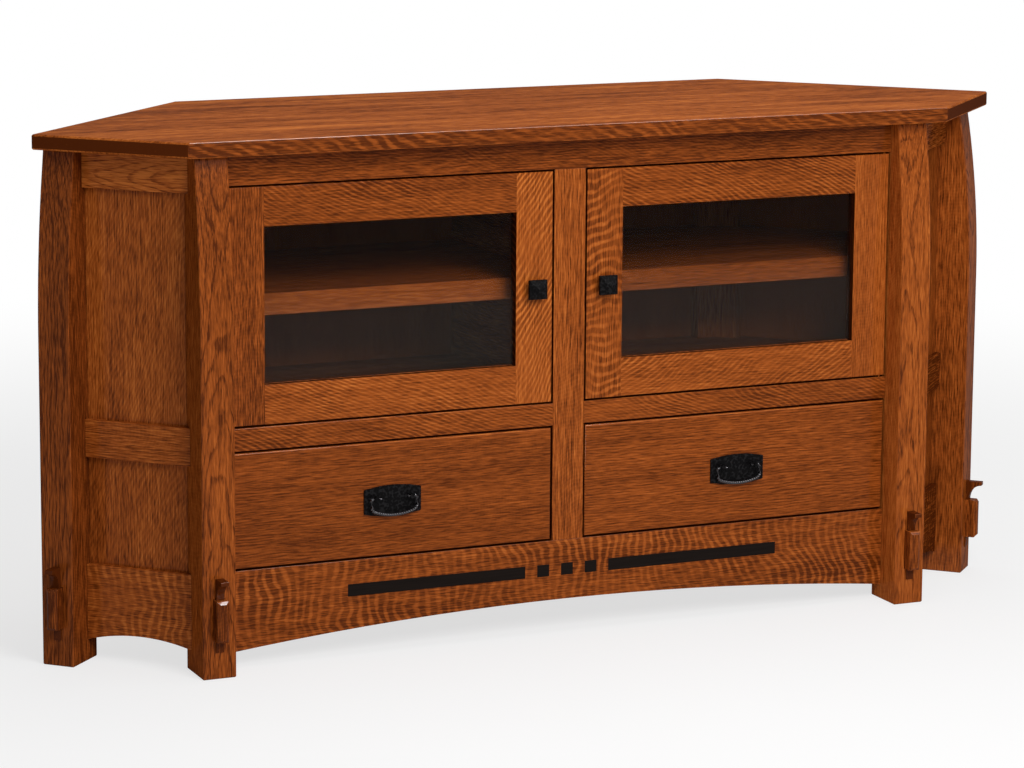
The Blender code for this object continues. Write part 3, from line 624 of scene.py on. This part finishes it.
def zinc_steel(name):
    """Plated steel, with a fine uneven sheen."""
    dark, light = (0.36, 0.35, 0.32), (0.55, 0.54, 0.50)
    material, g, shader = surface(name)
    grain = g.speckle(g.place(), 900.0)
    values = {
        "Base Color": g.mix(grain, opaque(dark), opaque(light)),
        "Roughness": g.math("MULTIPLY_ADD", grain, 0.2, 0.25),
        "Metallic": 1.0,
    }
    g.feed(shader, values)
    return material


def smoked_glass(name, look):
    """Dark glass that lets most of the light through, with a painted reflection of the pale floor on
    its lower half.
    """
    material, g, shader = surface(name)
    place = g.place()
    height = g.add("SeparateXYZ", {0: place}).outputs[2]
    haze = g.speckle(place, 9.0)
    fade = 0.03
    # Below this height, the glass gets a painted reflection of the floor.
    clear = g.step(height, look.painted_reflection_height - fade, look.painted_reflection_height + fade)
    painted_reflection = g.math("SUBTRACT", 1.0, clear)
    painted_reflection = g.math("MULTIPLY", painted_reflection, g.math("MULTIPLY_ADD", haze, 0.4, 0.8))
    values = {
        "Base Color": g.mix(painted_reflection, opaque(look.tint), opaque(look.painted_reflection)),
        "Roughness": g.math("MULTIPLY_ADD", haze, 0.03, 0.03),
        "Alpha": look.density,
        "Specular IOR Level": 0.22,
    }
    g.feed(shader, values)
    return material


# Shapes


def whole_mesh(node):
    """A CAD node's shape with its vertices merged and its flat faces made whole."""
    bm = bmesh.new()
    bm.from_mesh(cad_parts[node].data)
    for layers in (bm.loops.layers.uv, bm.loops.layers.float_vector):
        while len(layers):
            layers.remove(layers[0])
    bmesh.ops.remove_doubles(bm, verts=bm.verts, dist=2e-5)
    bmesh.ops.dissolve_limit(bm, angle_limit=math.radians(0.5), verts=bm.verts, edges=bm.edges)
    return bm


def centre_of(node):
    """The middle of a CAD node's box."""
    low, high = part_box(node)
    return (low + high) / 2


def middle_of(vertices):
    """The mean place of a mesh's vertices."""
    return sum((v.co for v in vertices), Vector()) / len(vertices)


def longer_than(length):
    """A test that leaves the short edges sharp."""
    return lambda edge: edge.calc_length() > length


def round_arrises(bm, radius, keep=None):
    """Rounds the outer edges that turn sharply, or those of them that keep lets through."""
    sharp = math.radians(20)
    edges = [e for e in bm.edges if len(e.link_faces) == 2 and e.is_convex]
    edges = [e for e in edges if e.calc_face_angle() > sharp and (not keep or keep(e))]
    bmesh.ops.bevel(
        bm,
        geom=edges,
        offset=radius,
        segments=2,
        profile=0.5,
        affect="EDGES",
        clamp_overlap=True,
        material=-1,
    )
    bmesh.ops.remove_doubles(bm, verts=bm.verts, dist=2e-6)
    bmesh.ops.dissolve_degenerate(bm, dist=1e-6, edges=bm.edges)


def cut_away(bm, point, normal):
    """Cuts the mesh at a plane, drops what lies on the normal's side, and closes the cut. Faces
    that lay in the plane already go too, so the new one has no twin."""
    geometry = [*bm.verts, *bm.edges, *bm.faces]
    bmesh.ops.bisect_plane(
        bm, geom=geometry, dist=1e-6, plane_co=point, plane_no=normal, clear_outer=True
    )
    in_plane = [f for f in bm.faces if all(abs((v.co - point).dot(normal)) < NEAR for v in f.verts)]
    bmesh.ops.delete(bm, geom=in_plane, context="FACES")
    bmesh.ops.holes_fill(bm, edges=[e for e in bm.edges if e.is_boundary])
    bmesh.ops.recalc_face_normals(bm, faces=bm.faces)


def finish_piece(name, bm, material, body, slot, *nodes, smooth=35):
    """Makes an object of the mesh, hangs it on what it rides on, and hides the nodes it stands for.
    Edges that turn by more than smooth, in degrees, stay sharp."""
    mesh = bpy.data.meshes.new(name)
    bm.to_mesh(mesh)
    bm.free()
    mesh.materials.append(material)
    mesh.shade_smooth()
    mesh.set_sharp_from_angle(angle=math.radians(smooth))
    obj = bpy.data.objects.new(name, mesh)
    bpy.context.scene.collection.objects.link(obj)
    weighted = obj.modifiers.new("weighted_normals", "WEIGHTED_NORMAL")
    weighted.keep_sharp = True
    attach(obj, body)
    if nodes:
        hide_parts(*nodes)
    return obj


def oak_piece(
    node,
    along,
    face,
    cut,
    body="case",
    slot="stained_oak",
    radius=None,
    keep=None,
    lit=0.35,
    **changes,
):
    """Dresses a CAD node in oak, with its arrises rounded. Lit is the gloss of the upper ones
    along its front."""
    material = Oak.board(f"{node}_oak", centre_of(node), along, face, cut, **changes)
    bm = whole_mesh(node)
    round_arrises(bm, radius or bpy.context.scene.cabinet_oak.arris, keep)
    piece = finish_piece(f"{node}_board", bm, material, body, slot, node)
    if slot == "stained_oak":
        add_surface(piece, Oak.lit_arris(lit), front_arris)
    return piece


def iron_piece(node, name, body, iron, radius):
    """Dresses a CAD node in iron, with its edges rounded."""
    bm = whole_mesh(node)
    round_arrises(bm, radius)
    finish_piece(name, bm, iron, body, "black_hardware", node)


def add_surface(obj, material, chosen):
    """Gives one more material to the faces that chosen picks by their normal."""
    obj.data.materials.append(material)
    for face in obj.data.polygons:
        if chosen(face.normal):
            face.material_index = len(obj.data.materials) - 1


def front_arris(normal):
    """Whether a face lies along an upper arris of the front."""
    return 0.3 < normal.z < 0.9 and -normal.y > 0.9 * math.hypot(normal.x, normal.y)


def edge_on(normal):
    """Whether a face looks neither to the front nor to the back."""
    return abs(normal.y) < 0.2


def paint_gap_shade(piece, name, middle, along, cut, chosen=edge_on):
    """Paints shade on the edges that look into a gap, so they are darker than the faces."""
    add_surface(piece, Oak.board(name, middle, along, FRONT, cut, **Oak.GAP_SHADE), chosen)


def dress_node(node, material):
    """Gives a CAD node that stays as it is a finer material."""
    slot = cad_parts[node].material_slots[0]
    slot.link = "OBJECT"
    slot.material = material


def diagonal(x, y):
    """The level way at 45 degrees to the front, with these signs."""
    return Vector((x, y, 0)).normalized()


# Pieces of the cabinet


class CABINET_OT_top(Operator):
    """Dress the top board, glued up from staves"""

    bl_idname = "cabinet.top"
    bl_label = "Top board"

    def execute(self, context):
        top = oak_piece("top_board", X, Z, Oak.TOP, radius=ARRIS["top"], lit=1.0)
        middle = middle_of(top.data.vertices)
        edge = Oak.board("top_edge_oak", middle, X, FRONT, Oak.TOP_EDGE)
        # The top's ends are darker than its front edge: end grain takes more stain, and the rest of
        # the darkness is painted shade on ends turned from the light.
        end = Oak.board("top_end_oak", middle, X, FRONT, Oak.CALM, tone=-0.70, gloss=0.02)
        add_surface(top, edge, lambda normal: abs(normal.y) > 0.9)
        add_surface(top, end, lambda normal: abs(normal.z) < 0.2 and abs(normal.y) < 0.9)
        return {"FINISHED"}


# Tones of a leg's face, flank, tenon and key, and the gloss of its flank.
# The rear left leg's dark flank is painted shade, and the front right leg's light flank is painted
# light thrown back from the doors.
LEG_LOOKS = {
    "front_left": (-0.21, -0.04, -0.50, -0.66, 0.012),
    "rear_left": (-0.26, -0.42, -0.55, -0.80, 0.01),
    "front_right": (-0.03, 0.20, -0.36, -0.56, 0.05),
    "rear_right": (-0.10, -0.08, -0.30, -0.46, 0.2),
}
# Gloss of the chamfers on the front tenons; the left one is glossier so that it catches a glint. The
# chamfers' colour is lighter than the tenons': a painted highlight.
CHAMFER_GLOSS = {"left": 1.0, "right": 0.2}


class CABINET_OT_legs(Operator):
    """Dress the bowed legs with their tenons and keys"""

    bl_idname = "cabinet.legs"
    bl_label = "Legs and keys"

    def execute(self, context):
        for side, hand in SIDES:
            for place, face in (("front", FRONT), ("rear", diagonal(hand, -1))):
                looks = LEG_LOOKS[f"{place}_{side}"]
                face_tone, flank_tone, tenon_tone, key_tone, flank_gloss = looks
                across = face.cross(Z)
                name = f"{place}_leg_{side}"
                cut = dict(Oak.PLAIN, tone=face_tone)
                leg = oak_piece(name, Z, face, cut, radius=ARRIS["leg"])
                middle = middle_of(leg.data.vertices)
                cut = dict(Oak.STRAIGHT, tone=flank_tone, gloss=flank_gloss)
                flank = Oak.board(f"{name}_flank_oak", middle, Z, across, cut)
                add_surface(leg, flank, lambda normal: abs(normal.dot(across)) > 0.8)
                name = f"{place}_tenon_{side}"
                cut = dict(Oak.STRAIGHT, tone=tenon_tone)
                tenon = oak_piece(name, Z, face, cut, radius=ARRIS["tenon"])
                if place == "front":
                    # The top chamfers are lighter and glossier than the tenon: a painted highlight.
                    middle = middle_of(tenon.data.vertices)
                    cut = dict(Oak.STRAIGHT, gloss=CHAMFER_GLOSS[side], depth_of_gloss=2.6)
                    chamfer_highlight = Oak.board(f"{tenon.name}_chamfer_oak", middle, X, Z, cut)
                    add_surface(tenon, chamfer_highlight, lambda normal: normal.z > 0.5)
                cut = dict(Oak.STRAIGHT, tone=key_tone)
                oak_piece(f"{place}_key_{side}", Z, face, cut, radius=ARRIS["key"])
        return {"FINISHED"}


class CABINET_OT_front_frame(Operator):
    """Dress the rails and the stile of the front, and the black inlay"""

    bl_idname = "cabinet.front_frame"
    bl_label = "Front frame"

    def execute(self, context):
        inlay_low, inlay_high = (corner.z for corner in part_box("inlay_bar_left"))
        margin = 0.002

        def outside_inlay(edge):
            return not all(inlay_low - margin < v.co.z < inlay_high + margin for v in edge.verts)

        # The top rail's dark tone is partly its board's own and partly painted shade under the top's
        # overhang.
        top = dict(Oak.QUARTERED, ripple=0.35, streak=0.6, line=0.9, tone=-0.36)
        stile = dict(Oak.STRAIGHT, tone=-0.16)
        bottom = dict(Oak.TIGER, tone=-0.18)
        pieces = [
            oak_piece("front_top_rail", X, FRONT, top),
            oak_piece("centre_stile", Z, FRONT, stile),
            oak_piece("front_bottom_rail", X, FRONT, bottom, keep=outside_inlay),
        ]
        # The ends of the mid rails meet the legs and the stile, and stay sharp.
        rounding = dict(radius=ARRIS["mid_rail"], keep=longer_than(0.1), lit=0.1)
        for side, tone in (("left", -0.22), ("right", -0.32)):
            cut = dict(Oak.QUARTERED, ripple=0.8, tone=tone)
            pieces.append(oak_piece(f"mid_rail_{side}", X, FRONT, cut, **rounding))

        def above(normal):
            return edge_on(normal) and normal.z > -0.2

        # The frame's edges that look into the gaps get painted shade.
        for piece in pieces:
            middle = middle_of(piece.data.vertices)
            paint_gap_shade(piece, f"{piece.name}_edge_oak", middle, X, Oak.STRAIGHT, above)
        black = ebonised("black_inlay_wood")
        dress_node("inlay_square_middle", black)
        for side, _ in SIDES:
            dress_node(f"inlay_bar_{side}", black)
            dress_node(f"inlay_square_{side}", black)
        return {"FINISHED"}


# The cut of each rail of a 45 degree side, and what it adds to the side's tone.
SIDE_RAILS = {
    "top": (dict(Oak.PLAIN, line=1.4, streak=0.9), 0.19),
    "mid": (Oak.STRAIGHT, -0.03),
    "bottom": (dict(Oak.TIGER, ripple=0.8, streak=0.7), -0.15),
}


class CABINET_OT_side_frames(Operator):
    """Dress the rails and panels of both angled sides"""

    bl_idname = "cabinet.side_frames"
    bl_label = "Side frames"

    def execute(self, context):
        panel = dict(Oak.QUARTERED, stave=0.095, line=0.6, streak=0.75, ripple=0.4)
        for side, hand in SIDES:
            face, along = diagonal(hand, -1), diagonal(hand, 1)
            # The right side's rails and panels are darker and duller than the left's: painted shade
            # on the side turned from the light.
            rail_tone, panel_tone, gloss = (0.04, 0.0, 0.1) if hand < 0 else (-0.34, -0.17, 0.04)
            for place, (cut, tone) in SIDE_RAILS.items():
                cut = dict(cut, tone=rail_tone + tone, gloss=gloss)
                oak_piece(f"side_{place}_rail_{side}", along, face, cut)
            for place, tone in (("upper", 0.02), ("lower", -0.14)):
                cut = dict(panel, tone=panel_tone + tone, gloss=gloss)
                oak_piece(f"side_{place}_panel_{side}", Z, face, cut, slot="panel_oak")
        return {"FINISHED"}


class CABINET_OT_carcase(Operator):
    """Dress the back, the decks, the partition and the shelves"""

    bl_idname = "cabinet.carcase"
    bl_label = "Carcase"

    def execute(self, context):
        panel = dict(Oak.PLAIN, stave=0.30, depth=0.06, line=0.4, streak=0.4, tone=0.32, gloss=0.04)
        lining = dict(Oak.CALM, streak=0.2, line=0.1, mottle=0.2, tone=0.05, gloss=0.02)
        inside = dict(Oak.STRAIGHT, streak=0.6, tone=-0.16, gloss=0.04)
        shelving = dict(Oak.CALM, stave=0.12, streak=0.6, tone=-0.26, gloss=0.04)
        panels = {"back_panel": Y}
        for side, hand in SIDES:
            panels[f"wall_panel_{side}"] = diagonal(hand, 1)
        steel = zinc_steel("zinc_screw_steel")
        for name, outward in panels.items():
            piece = oak_piece(name, Z, outward, panel, slot="panel_oak")
            middle = middle_of(piece.data.vertices)
            inner = Oak.board(f"{name}_inner_oak", middle, Z, outward, lining)
            add_surface(piece, inner, lambda normal: normal.dot(outward) < -0.9)
            screws = screw_rows(name, outward)
            finish_piece(f"{name}_screws", screws, steel, "case", "black_hardware")
        for name in ("bottom_deck", "middle_deck"):
            oak_piece(name, X, Z, inside, slot="inside_oak", stave=0.12)
        oak_piece("centre_partition", Y, X, inside, slot="inside_oak")
        for side, _ in SIDES:
            oak_piece(f"back_leg_{side}", Z, Y, inside, slot="inside_oak", tone=0.15)
            name = f"shelf_{side}"
            shelf = oak_piece(name, X, Z, shelving, slot="inside_oak")
            cut = dict(Oak.CALM, tone=-0.05)
            edge = Oak.board(f"{name}_edge_oak", centre_of(name), X, FRONT, cut)
            add_surface(shelf, edge, lambda normal: normal.y < -0.5)
        return {"FINISHED"}


def screw_rows(node, outward):
    """Small screw heads in two rows up the ends of a thin panel, on its outer face."""
    rows, from_side, from_end, proud = 5, 0.014, 0.03, 0.0002
    rim, crown, thickness = 0.0040, 0.0029, 0.0014
    land, wall, sunk = 0.0014, 0.0002, 0.0007
    along = outward.cross(Z)
    corners = [v.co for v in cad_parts[node].data.vertices]
    face = max(p.dot(outward) for p in corners)
    outer = [p for p in corners if face - p.dot(outward) < NEAR]
    across = [p.dot(along) for p in outer]
    low, high = min(p.z for p in outer) + from_end, max(p.z for p in outer) - from_end
    turn = outward.to_track_quat("Z", "Y").to_matrix().to_4x4()
    bm = bmesh.new()
    for place in (min(across) + from_side, max(across) - from_side):
        for row in range(rows):
            height = low + (high - low) * row / (rows - 1)
            spot = along * place + outward * (face + proud) + Z * height
            head = bmesh.ops.create_cone(
                bm,
                cap_ends=True,
                segments=16,
                radius1=rim,
                radius2=crown,
                depth=thickness,
                matrix=Matrix.Translation(spot) @ turn,
            )["verts"]
            faces = {f for v in head for f in v.link_faces}
            cap = max(faces, key=lambda f: f.calc_center_median().dot(outward))
            bmesh.ops.inset_individual(bm, faces=[cap], thickness=land)
            bmesh.ops.inset_individual(bm, faces=[cap], thickness=wall, depth=-sunk)
    bmesh.ops.recalc_face_normals(bm, faces=bm.faces)
    return bm


def door_members(side):
    """For each stile and rail of a door's frame, the planes that cut it out, each with the way to
    what goes, and the way its grain runs. Then where the joints lie along X."""
    bite = 0.007
    low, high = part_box(f"door_{side}_frame")
    glass_low, glass_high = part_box(f"door_{side}_glass")
    member = (high.x - low.x - (glass_high.x - glass_low.x)) / 2 + bite
    joints = low.x + member, high.x - member
    left, right = (X * joint for joint in joints)
    half = Z * ((glass_low.z + glass_high.z) / 2)
    between = [(left, -X), (right, X)]
    return {
        "stile_a": ([(left, X)], Z),
        "stile_b": ([(right, -X)], Z),
        "rail_top": ([*between, (half, -Z)], X),
        "rail_bottom": ([*between, (half, Z)], X),
    }, joints


# The cut of each member of the doors.
DOOR_CUTS = {
    "left": {
        "stile_a": dict(Oak.STRAIGHT, tone=-0.30),
        "stile_b": dict(Oak.QUARTERED, tone=-0.03, slant=1.8, ripple=1.3),
        "rail_top": dict(Oak.QUARTERED, tone=-0.29),
        "rail_bottom": dict(Oak.QUARTERED, tone=-0.08),
    },
    "right": {
        "stile_a": dict(Oak.TIGER, tone=-0.13),
        "stile_b": dict(Oak.STRAIGHT, tone=0.01, streak=0.55),
        "rail_top": dict(Oak.QUARTERED, tone=-0.22),
        "rail_bottom": dict(Oak.QUARTERED, tone=-0.14, slant=-1.8),
    },
}


class CABINET_OT_doors(Operator):
    """Dress the doors: two stiles and two rails each, the glass, the knob and the catch"""

    bl_idname = "cabinet.doors"
    bl_label = "Doors"

    def execute(self, context):
        iron = hammered_iron("black_knob_iron", context.scene.cabinet_hardware)
        glass = smoked_glass("smoked_door_glass", context.scene.cabinet_glass)
        for side, _ in SIDES:
            door = f"door_{side}"
            members, joints = door_members(side)

            def off_joint(edge):
                at_joint = any(all(abs(v.co.x - x) < NEAR for v in edge.verts) for x in joints)
                return edge.calc_length() > 0.03 and not at_joint

            for member, (planes, along) in members.items():
                name, cut = f"{door}_{member}", DOOR_CUTS[side][member]
                bm = whole_mesh(f"{door}_frame")
                for point, normal in planes:
                    cut_away(bm, point, normal)
                round_arrises(bm, ARRIS["door"], off_joint)
                middle = middle_of(bm.verts)
                material = Oak.board(f"{name}_oak", middle, along, FRONT, cut)
                nodes = [f"{door}_frame"] if member == "stile_a" else []
                piece = finish_piece(name, bm, material, door, "stained_oak", *nodes)
                # The door's edges that look into the gaps get painted shade.
                paint_gap_shade(piece, f"{name}_edge_oak", middle, along, cut)
            dress_node(f"{door}_glass", glass)
            iron_piece(f"{door}_knob", f"{door}_knob_iron", door, iron, ARRIS["knob"])
        iron_piece("door_catch", "door_catch_body", "case", iron, ARRIS["catch"])
        return {"FINISHED"}


def drawer_box(side, body):
    """Dresses a drawer's box as four walls and a bottom."""
    node = f"drawer_{side}_box"
    low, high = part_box(node)
    wall = 0.012
    inset = Vector((wall, wall, 0))
    inside_low, inside_high = low + inset, high - inset
    between = [(inside_low, -X), (inside_high, X)]
    boards = {
        "near_side": ([(inside_low, X)], Y, X, Oak.STRAIGHT),
        "far_side": ([(inside_high, -X)], Y, X, Oak.STRAIGHT),
        "inner_front": ([*between, (inside_low, Y)], X, Y, Oak.STRAIGHT),
        "back": ([*between, (inside_high, -Y)], X, Y, Oak.STRAIGHT),
        "bottom": ([*between, (inside_low, -Y), (inside_high, Y)], Y, Z, Oak.PLAIN),
    }

    def on_rim(edge):
        return all(v.co.z > high.z - NEAR for v in edge.verts)

    for board, (planes, along, face, cut) in boards.items():
        name = f"drawer_{side}_{board}"
        bm = whole_mesh(node)
        for point, normal in planes:
            cut_away(bm, point, normal)
        if board != "bottom":
            round_arrises(bm, ARRIS["box"], on_rim)
        middle = middle_of(bm.verts)
        material = Oak.board(f"{name}_wood", middle, along, face, cut, wood="drawer", tone=0.05)
        nodes = [node] if board == "back" else []
        finish_piece(name, bm, material, body, "drawer_wood", *nodes)


def bail_route(width, drop):
    """The middle line of a bail round its axis: out from one post, down, along and back up to
    the other. Width is half the bail's, and drop is how far it hangs."""
    start, straight, bend, corner = 0.021, 0.006, 0.0035, 0.009
    turn = math.radians(70)
    arc = corner + (width - corner) / math.cos(turn)
    centre = Vector((0, 0, arc - drop))
    lower = Vector((width - corner, 0, centre.z - (arc - corner) * math.sin(turn)))
    upper = Vector((width - bend, 0, -bend))
    half = [Vector((start, 0, 0)), Vector((start + straight, 0, 0))]
    for about, size, first, last, steps in (
        (upper, bend, math.pi / 2, 0, 5),
        (lower, corner, 0, -turn, 10),
        (centre, arc, -turn, -math.pi / 2, 22),
    ):
        for n in range(steps + 1):
            angle = first + (last - first) * n / steps
            half.append(about + size * Vector((math.cos(angle), 0, math.sin(angle))))
    return half + [Vector((-p.x, 0, p.z)) for p in reversed(half[:-1])]


def bail_section(name, radius):
    """The outline of a square bar with slightly hollow sides."""
    corners, hollow = 12, 0.80
    section = bpy.data.curves.new(name, "CURVE")
    section.dimensions = "2D"
    ring = section.splines.new("POLY")
    ring.points.add(corners - 1)
    for n, point in enumerate(ring.points):
        angle = 2 * math.pi * n / corners
        size = radius * (hollow if n % 3 else 1.0)
        point.co = (size * math.cos(angle), size * math.sin(angle), 0, 1)
    ring.use_cyclic_u = True
    obj = bpy.data.objects.new(name, section)
    bpy.context.scene.collection.objects.link(obj)
    return obj


def bail_bar(side, twists):
    """A square bar, twisted along a bail's route."""
    name = f"bail_{side}_bar"
    low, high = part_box(f"drawer_{side}_bail")
    radius = (high.y - low.y) / 2
    axis = Vector(((low.x + high.x) / 2, (low.y + high.y) / 2, high.z - radius))
    route = bail_route((high.x - low.x) / 2 - radius, high.z - low.z - 2 * radius)
    section = bail_section(f"{name}_section", radius)
    curve = bpy.data.curves.new(name, "CURVE")
    curve.dimensions = "3D"
    curve.bevel_mode = "OBJECT"
    curve.bevel_object = section
    curve.use_fill_caps = True
    spline = curve.splines.new("POLY")
    spline.points.add(len(route) - 1)
    steps = [0.0, *((b - a).length for a, b in zip(route, route[1:]))]
    length = sum(steps)
    travelled = 0.0
    for point, spot, step in zip(spline.points, route, steps):
        travelled += step
        point.co = (*(axis + spot), 1)
        point.tilt = 2 * math.pi * twists * travelled / length
    guide = bpy.data.objects.new(name, curve)
    bpy.context.scene.collection.objects.link(guide)
    bpy.context.view_layer.update()
    evaluated = guide.evaluated_get(bpy.context.evaluated_depsgraph_get())
    mesh = bpy.data.meshes.new_from_object(evaluated)
    for obj in (guide, section):
        bpy.data.objects.remove(obj)
    bm = bmesh.new()
    bm.from_mesh(mesh)
    bmesh.ops.remove_doubles(bm, verts=bm.verts, dist=1e-6)
    bmesh.ops.recalc_face_normals(bm, faces=bm.faces)
    return bm


# Strength of the ring lines on each drawer's front.
FRONT_LINES = {"left": 0.5, "right": 1.0}


class CABINET_OT_drawers(Operator):
    """Dress the drawers: fronts, boxes, guides and pulls"""

    bl_idname = "cabinet.drawers"
    bl_label = "Drawers"

    def execute(self, context):
        hardware = context.scene.cabinet_hardware
        iron = hammered_iron("black_pull_iron", hardware)
        rubbed = hammered_iron("rubbed_bail_iron", hardware, polish=1.0)
        rounding = dict(radius=ARRIS["drawer"], keep=longer_than(0.03), lit=0.1)
        guide = dict(slot="inside_oak", wood="drawer")
        for side, _ in SIDES:
            body, bail = f"drawer_{side}", f"bail_{side}"
            name = f"{body}_front"
            cut = dict(Oak.CALM, tone=-0.22, line=FRONT_LINES[side])
            front = oak_piece(name, X, FRONT, cut, body, **rounding)
            # The drawer front's edges that look into the gaps get painted shade.
            paint_gap_shade(front, f"{name}_edge_oak", centre_of(name), X, Oak.STRAIGHT)
            oak_piece(f"drawer_guide_{side}", Y, Z, Oak.STRAIGHT, **guide)
            drawer_box(side, body)
            iron_piece(f"{body}_pull_plate", f"{body}_plate_iron", body, iron, ARRIS["plate"])
            bm, node = bail_bar(side, hardware.twists), f"{body}_bail"
            finish_piece(f"{bail}_twisted", bm, rubbed, bail, "black_hardware", node, smooth=60)
        return {"FINISHED"}


# Stage


class CABINET_OT_stage(Operator):
    """Set the floor, the lights, the backdrop and the camera"""

    bl_idname = "cabinet.stage"
    bl_label = "Stage"

    def execute(self, context):
        stage = context.scene.cabinet_stage
        make_floor()
        middle = Vector((0, 0, 0.4))
        area_light("key_light", Vector((0.05, -2.35, 1.85)), middle, 1.2, stage.key)
        area_light("overhead_light", Vector((0.4, -0.1, 3.2)), middle, 2.8, stage.overhead)
        make_world(stage.ambient)
        make_camera(stage)
        context.scene.view_settings.view_transform = "Standard"
        return {"FINISHED"}


def seen_ray(g):
    """1 for a ray from the camera, a reflection or clear glass, and 0 for one that lights a
    surface."""
    path = g.add("LightPath").outputs
    mirrored = g.math("MAXIMUM", path["Is Glossy Ray"], path["Is Transmission Ray"])
    return g.math("MAXIMUM", path["Is Camera Ray"], mirrored)


def make_floor():
    """A wide pale floor that takes the cabinet's soft shadow and fades to white around it."""
    half_width, near, far, least_white = 60.0, 0.9, 3.2, 0.70
    bm = bmesh.new()
    bmesh.ops.create_grid(bm, x_segments=1, y_segments=1, size=half_width)
    mesh = bpy.data.meshes.new("floor")
    bm.to_mesh(mesh)
    bm.free()
    floor = bpy.data.objects.new("floor", mesh)
    bpy.context.scene.collection.objects.link(floor)
    material, g, shader = surface("pale_floor")
    place = g.place()
    tone = g.mix(g.speckle(place, 1.5, 2.0), opaque([0.80] * 3), opaque([0.84] * 3))
    g.feed(shader, {"Base Color": tone, "Roughness": 0.9, "Specular IOR Level": 0.1})
    white = g.add("Emission", {"Color": WHITE, "Strength": 1.0}).outputs[0]
    reach = g.add("VectorMath", {0: place}, operation="LENGTH").outputs["Value"]
    share = g.math("MULTIPLY_ADD", g.step(reach, near, far), 1.0 - least_white, least_white)
    share = g.math("MULTIPLY", seen_ray(g), share)
    mixed = g.add("MixShader", {0: share, 1: shader.outputs[0], 2: white}).outputs[0]
    g.feed(material.node_tree.nodes["Material Output"], {"Surface": mixed})
    mesh.materials.append(material)


def area_light(name, place, target, size, power):
    light = bpy.data.lights.new(name, "AREA")
    light.size = size
    light.energy = power
    obj = bpy.data.objects.new(name, light)
    obj.location = place
    obj.rotation_euler = (target - place).to_track_quat("-Z", "Y").to_euler()
    bpy.context.scene.collection.objects.link(obj)


def make_world(strength):
    """A backdrop that is white to look at and lights the cabinet with this strength."""
    world = bpy.data.worlds.new("studio")
    world.use_nodes = True
    g = Graph(world.node_tree)
    level = g.math("MULTIPLY_ADD", seen_ray(g), 1.0 - strength, strength)
    g.feed(world.node_tree.nodes["Background"], {"Color": WHITE, "Strength": level})
    bpy.context.scene.world = world


def make_camera(stage):
    data = bpy.data.cameras.new("camera")
    data.sensor_width = 36.0
    data.lens = stage.lens
    data.shift_y = stage.shift
    camera = bpy.data.objects.new("camera", data)
    yaw, pitch = stage.yaw, stage.pitch
    level = math.cos(pitch)
    ahead = Vector((math.sin(yaw) * level, math.cos(yaw) * level, math.sin(pitch)))
    right = Vector((math.cos(yaw), -math.sin(yaw), 0))
    turn = Matrix((right, right.cross(ahead), -ahead)).transposed()
    turn = turn @ Matrix.Rotation(stage.roll, 3, "Z")
    camera.matrix_world = Matrix.Translation(stage.camera_place) @ turn.to_4x4()
    bpy.context.scene.collection.objects.link(camera)
    bpy.context.scene.camera = camera


# Add-on


class CABINET_PT_panel(Panel):
    """Steps of the dressing, in order"""

    bl_idname = "CABINET_PT_panel"
    bl_label = "Corner Cabinet"
    bl_space_type = "VIEW_3D"
    bl_region_type = "UI"
    bl_category = "Cabinet"

    def draw(self, context):
        layout = self.layout
        for step in STEPS:
            layout.operator(step.bl_idname)
        for name in SETTINGS:
            settings = getattr(context.scene, name)
            box = layout.box()
            for prop in settings.__annotations__:
                box.prop(settings, prop)


SETTINGS = {
    "cabinet_oak": OakSettings,
    "cabinet_drawer_wood": DrawerWoodSettings,
    "cabinet_hardware": HardwareSettings,
    "cabinet_glass": GlassSettings,
    "cabinet_stage": StageSettings,
}
STEPS = (
    CABINET_OT_top,
    CABINET_OT_legs,
    CABINET_OT_front_frame,
    CABINET_OT_side_frames,
    CABINET_OT_carcase,
    CABINET_OT_doors,
    CABINET_OT_drawers,
    CABINET_OT_stage,
)
CLASSES = (*SETTINGS.values(), *STEPS, CABINET_PT_panel)


def register():
    for cls in CLASSES:
        bpy.utils.register_class(cls)
    for name, cls in SETTINGS.items():
        setattr(bpy.types.Scene, name, PointerProperty(type=cls))


def unregister():
    for name in SETTINGS:
        delattr(bpy.types.Scene, name)
    for cls in reversed(CLASSES):
        bpy.utils.unregister_class(cls)


def main():
    register()
    Oak.trees["oak"] = oak_tree(bpy.context.scene.cabinet_oak)
    Oak.trees["drawer"] = oak_tree(bpy.context.scene.cabinet_drawer_wood)
    bpy.ops.cabinet.top()
    bpy.ops.cabinet.legs()
    bpy.ops.cabinet.front_frame()
    bpy.ops.cabinet.side_frames()
    bpy.ops.cabinet.carcase()
    bpy.ops.cabinet.doors()
    bpy.ops.cabinet.drawers()
    bpy.ops.cabinet.stage()


if __name__ == "__main__":
    main()
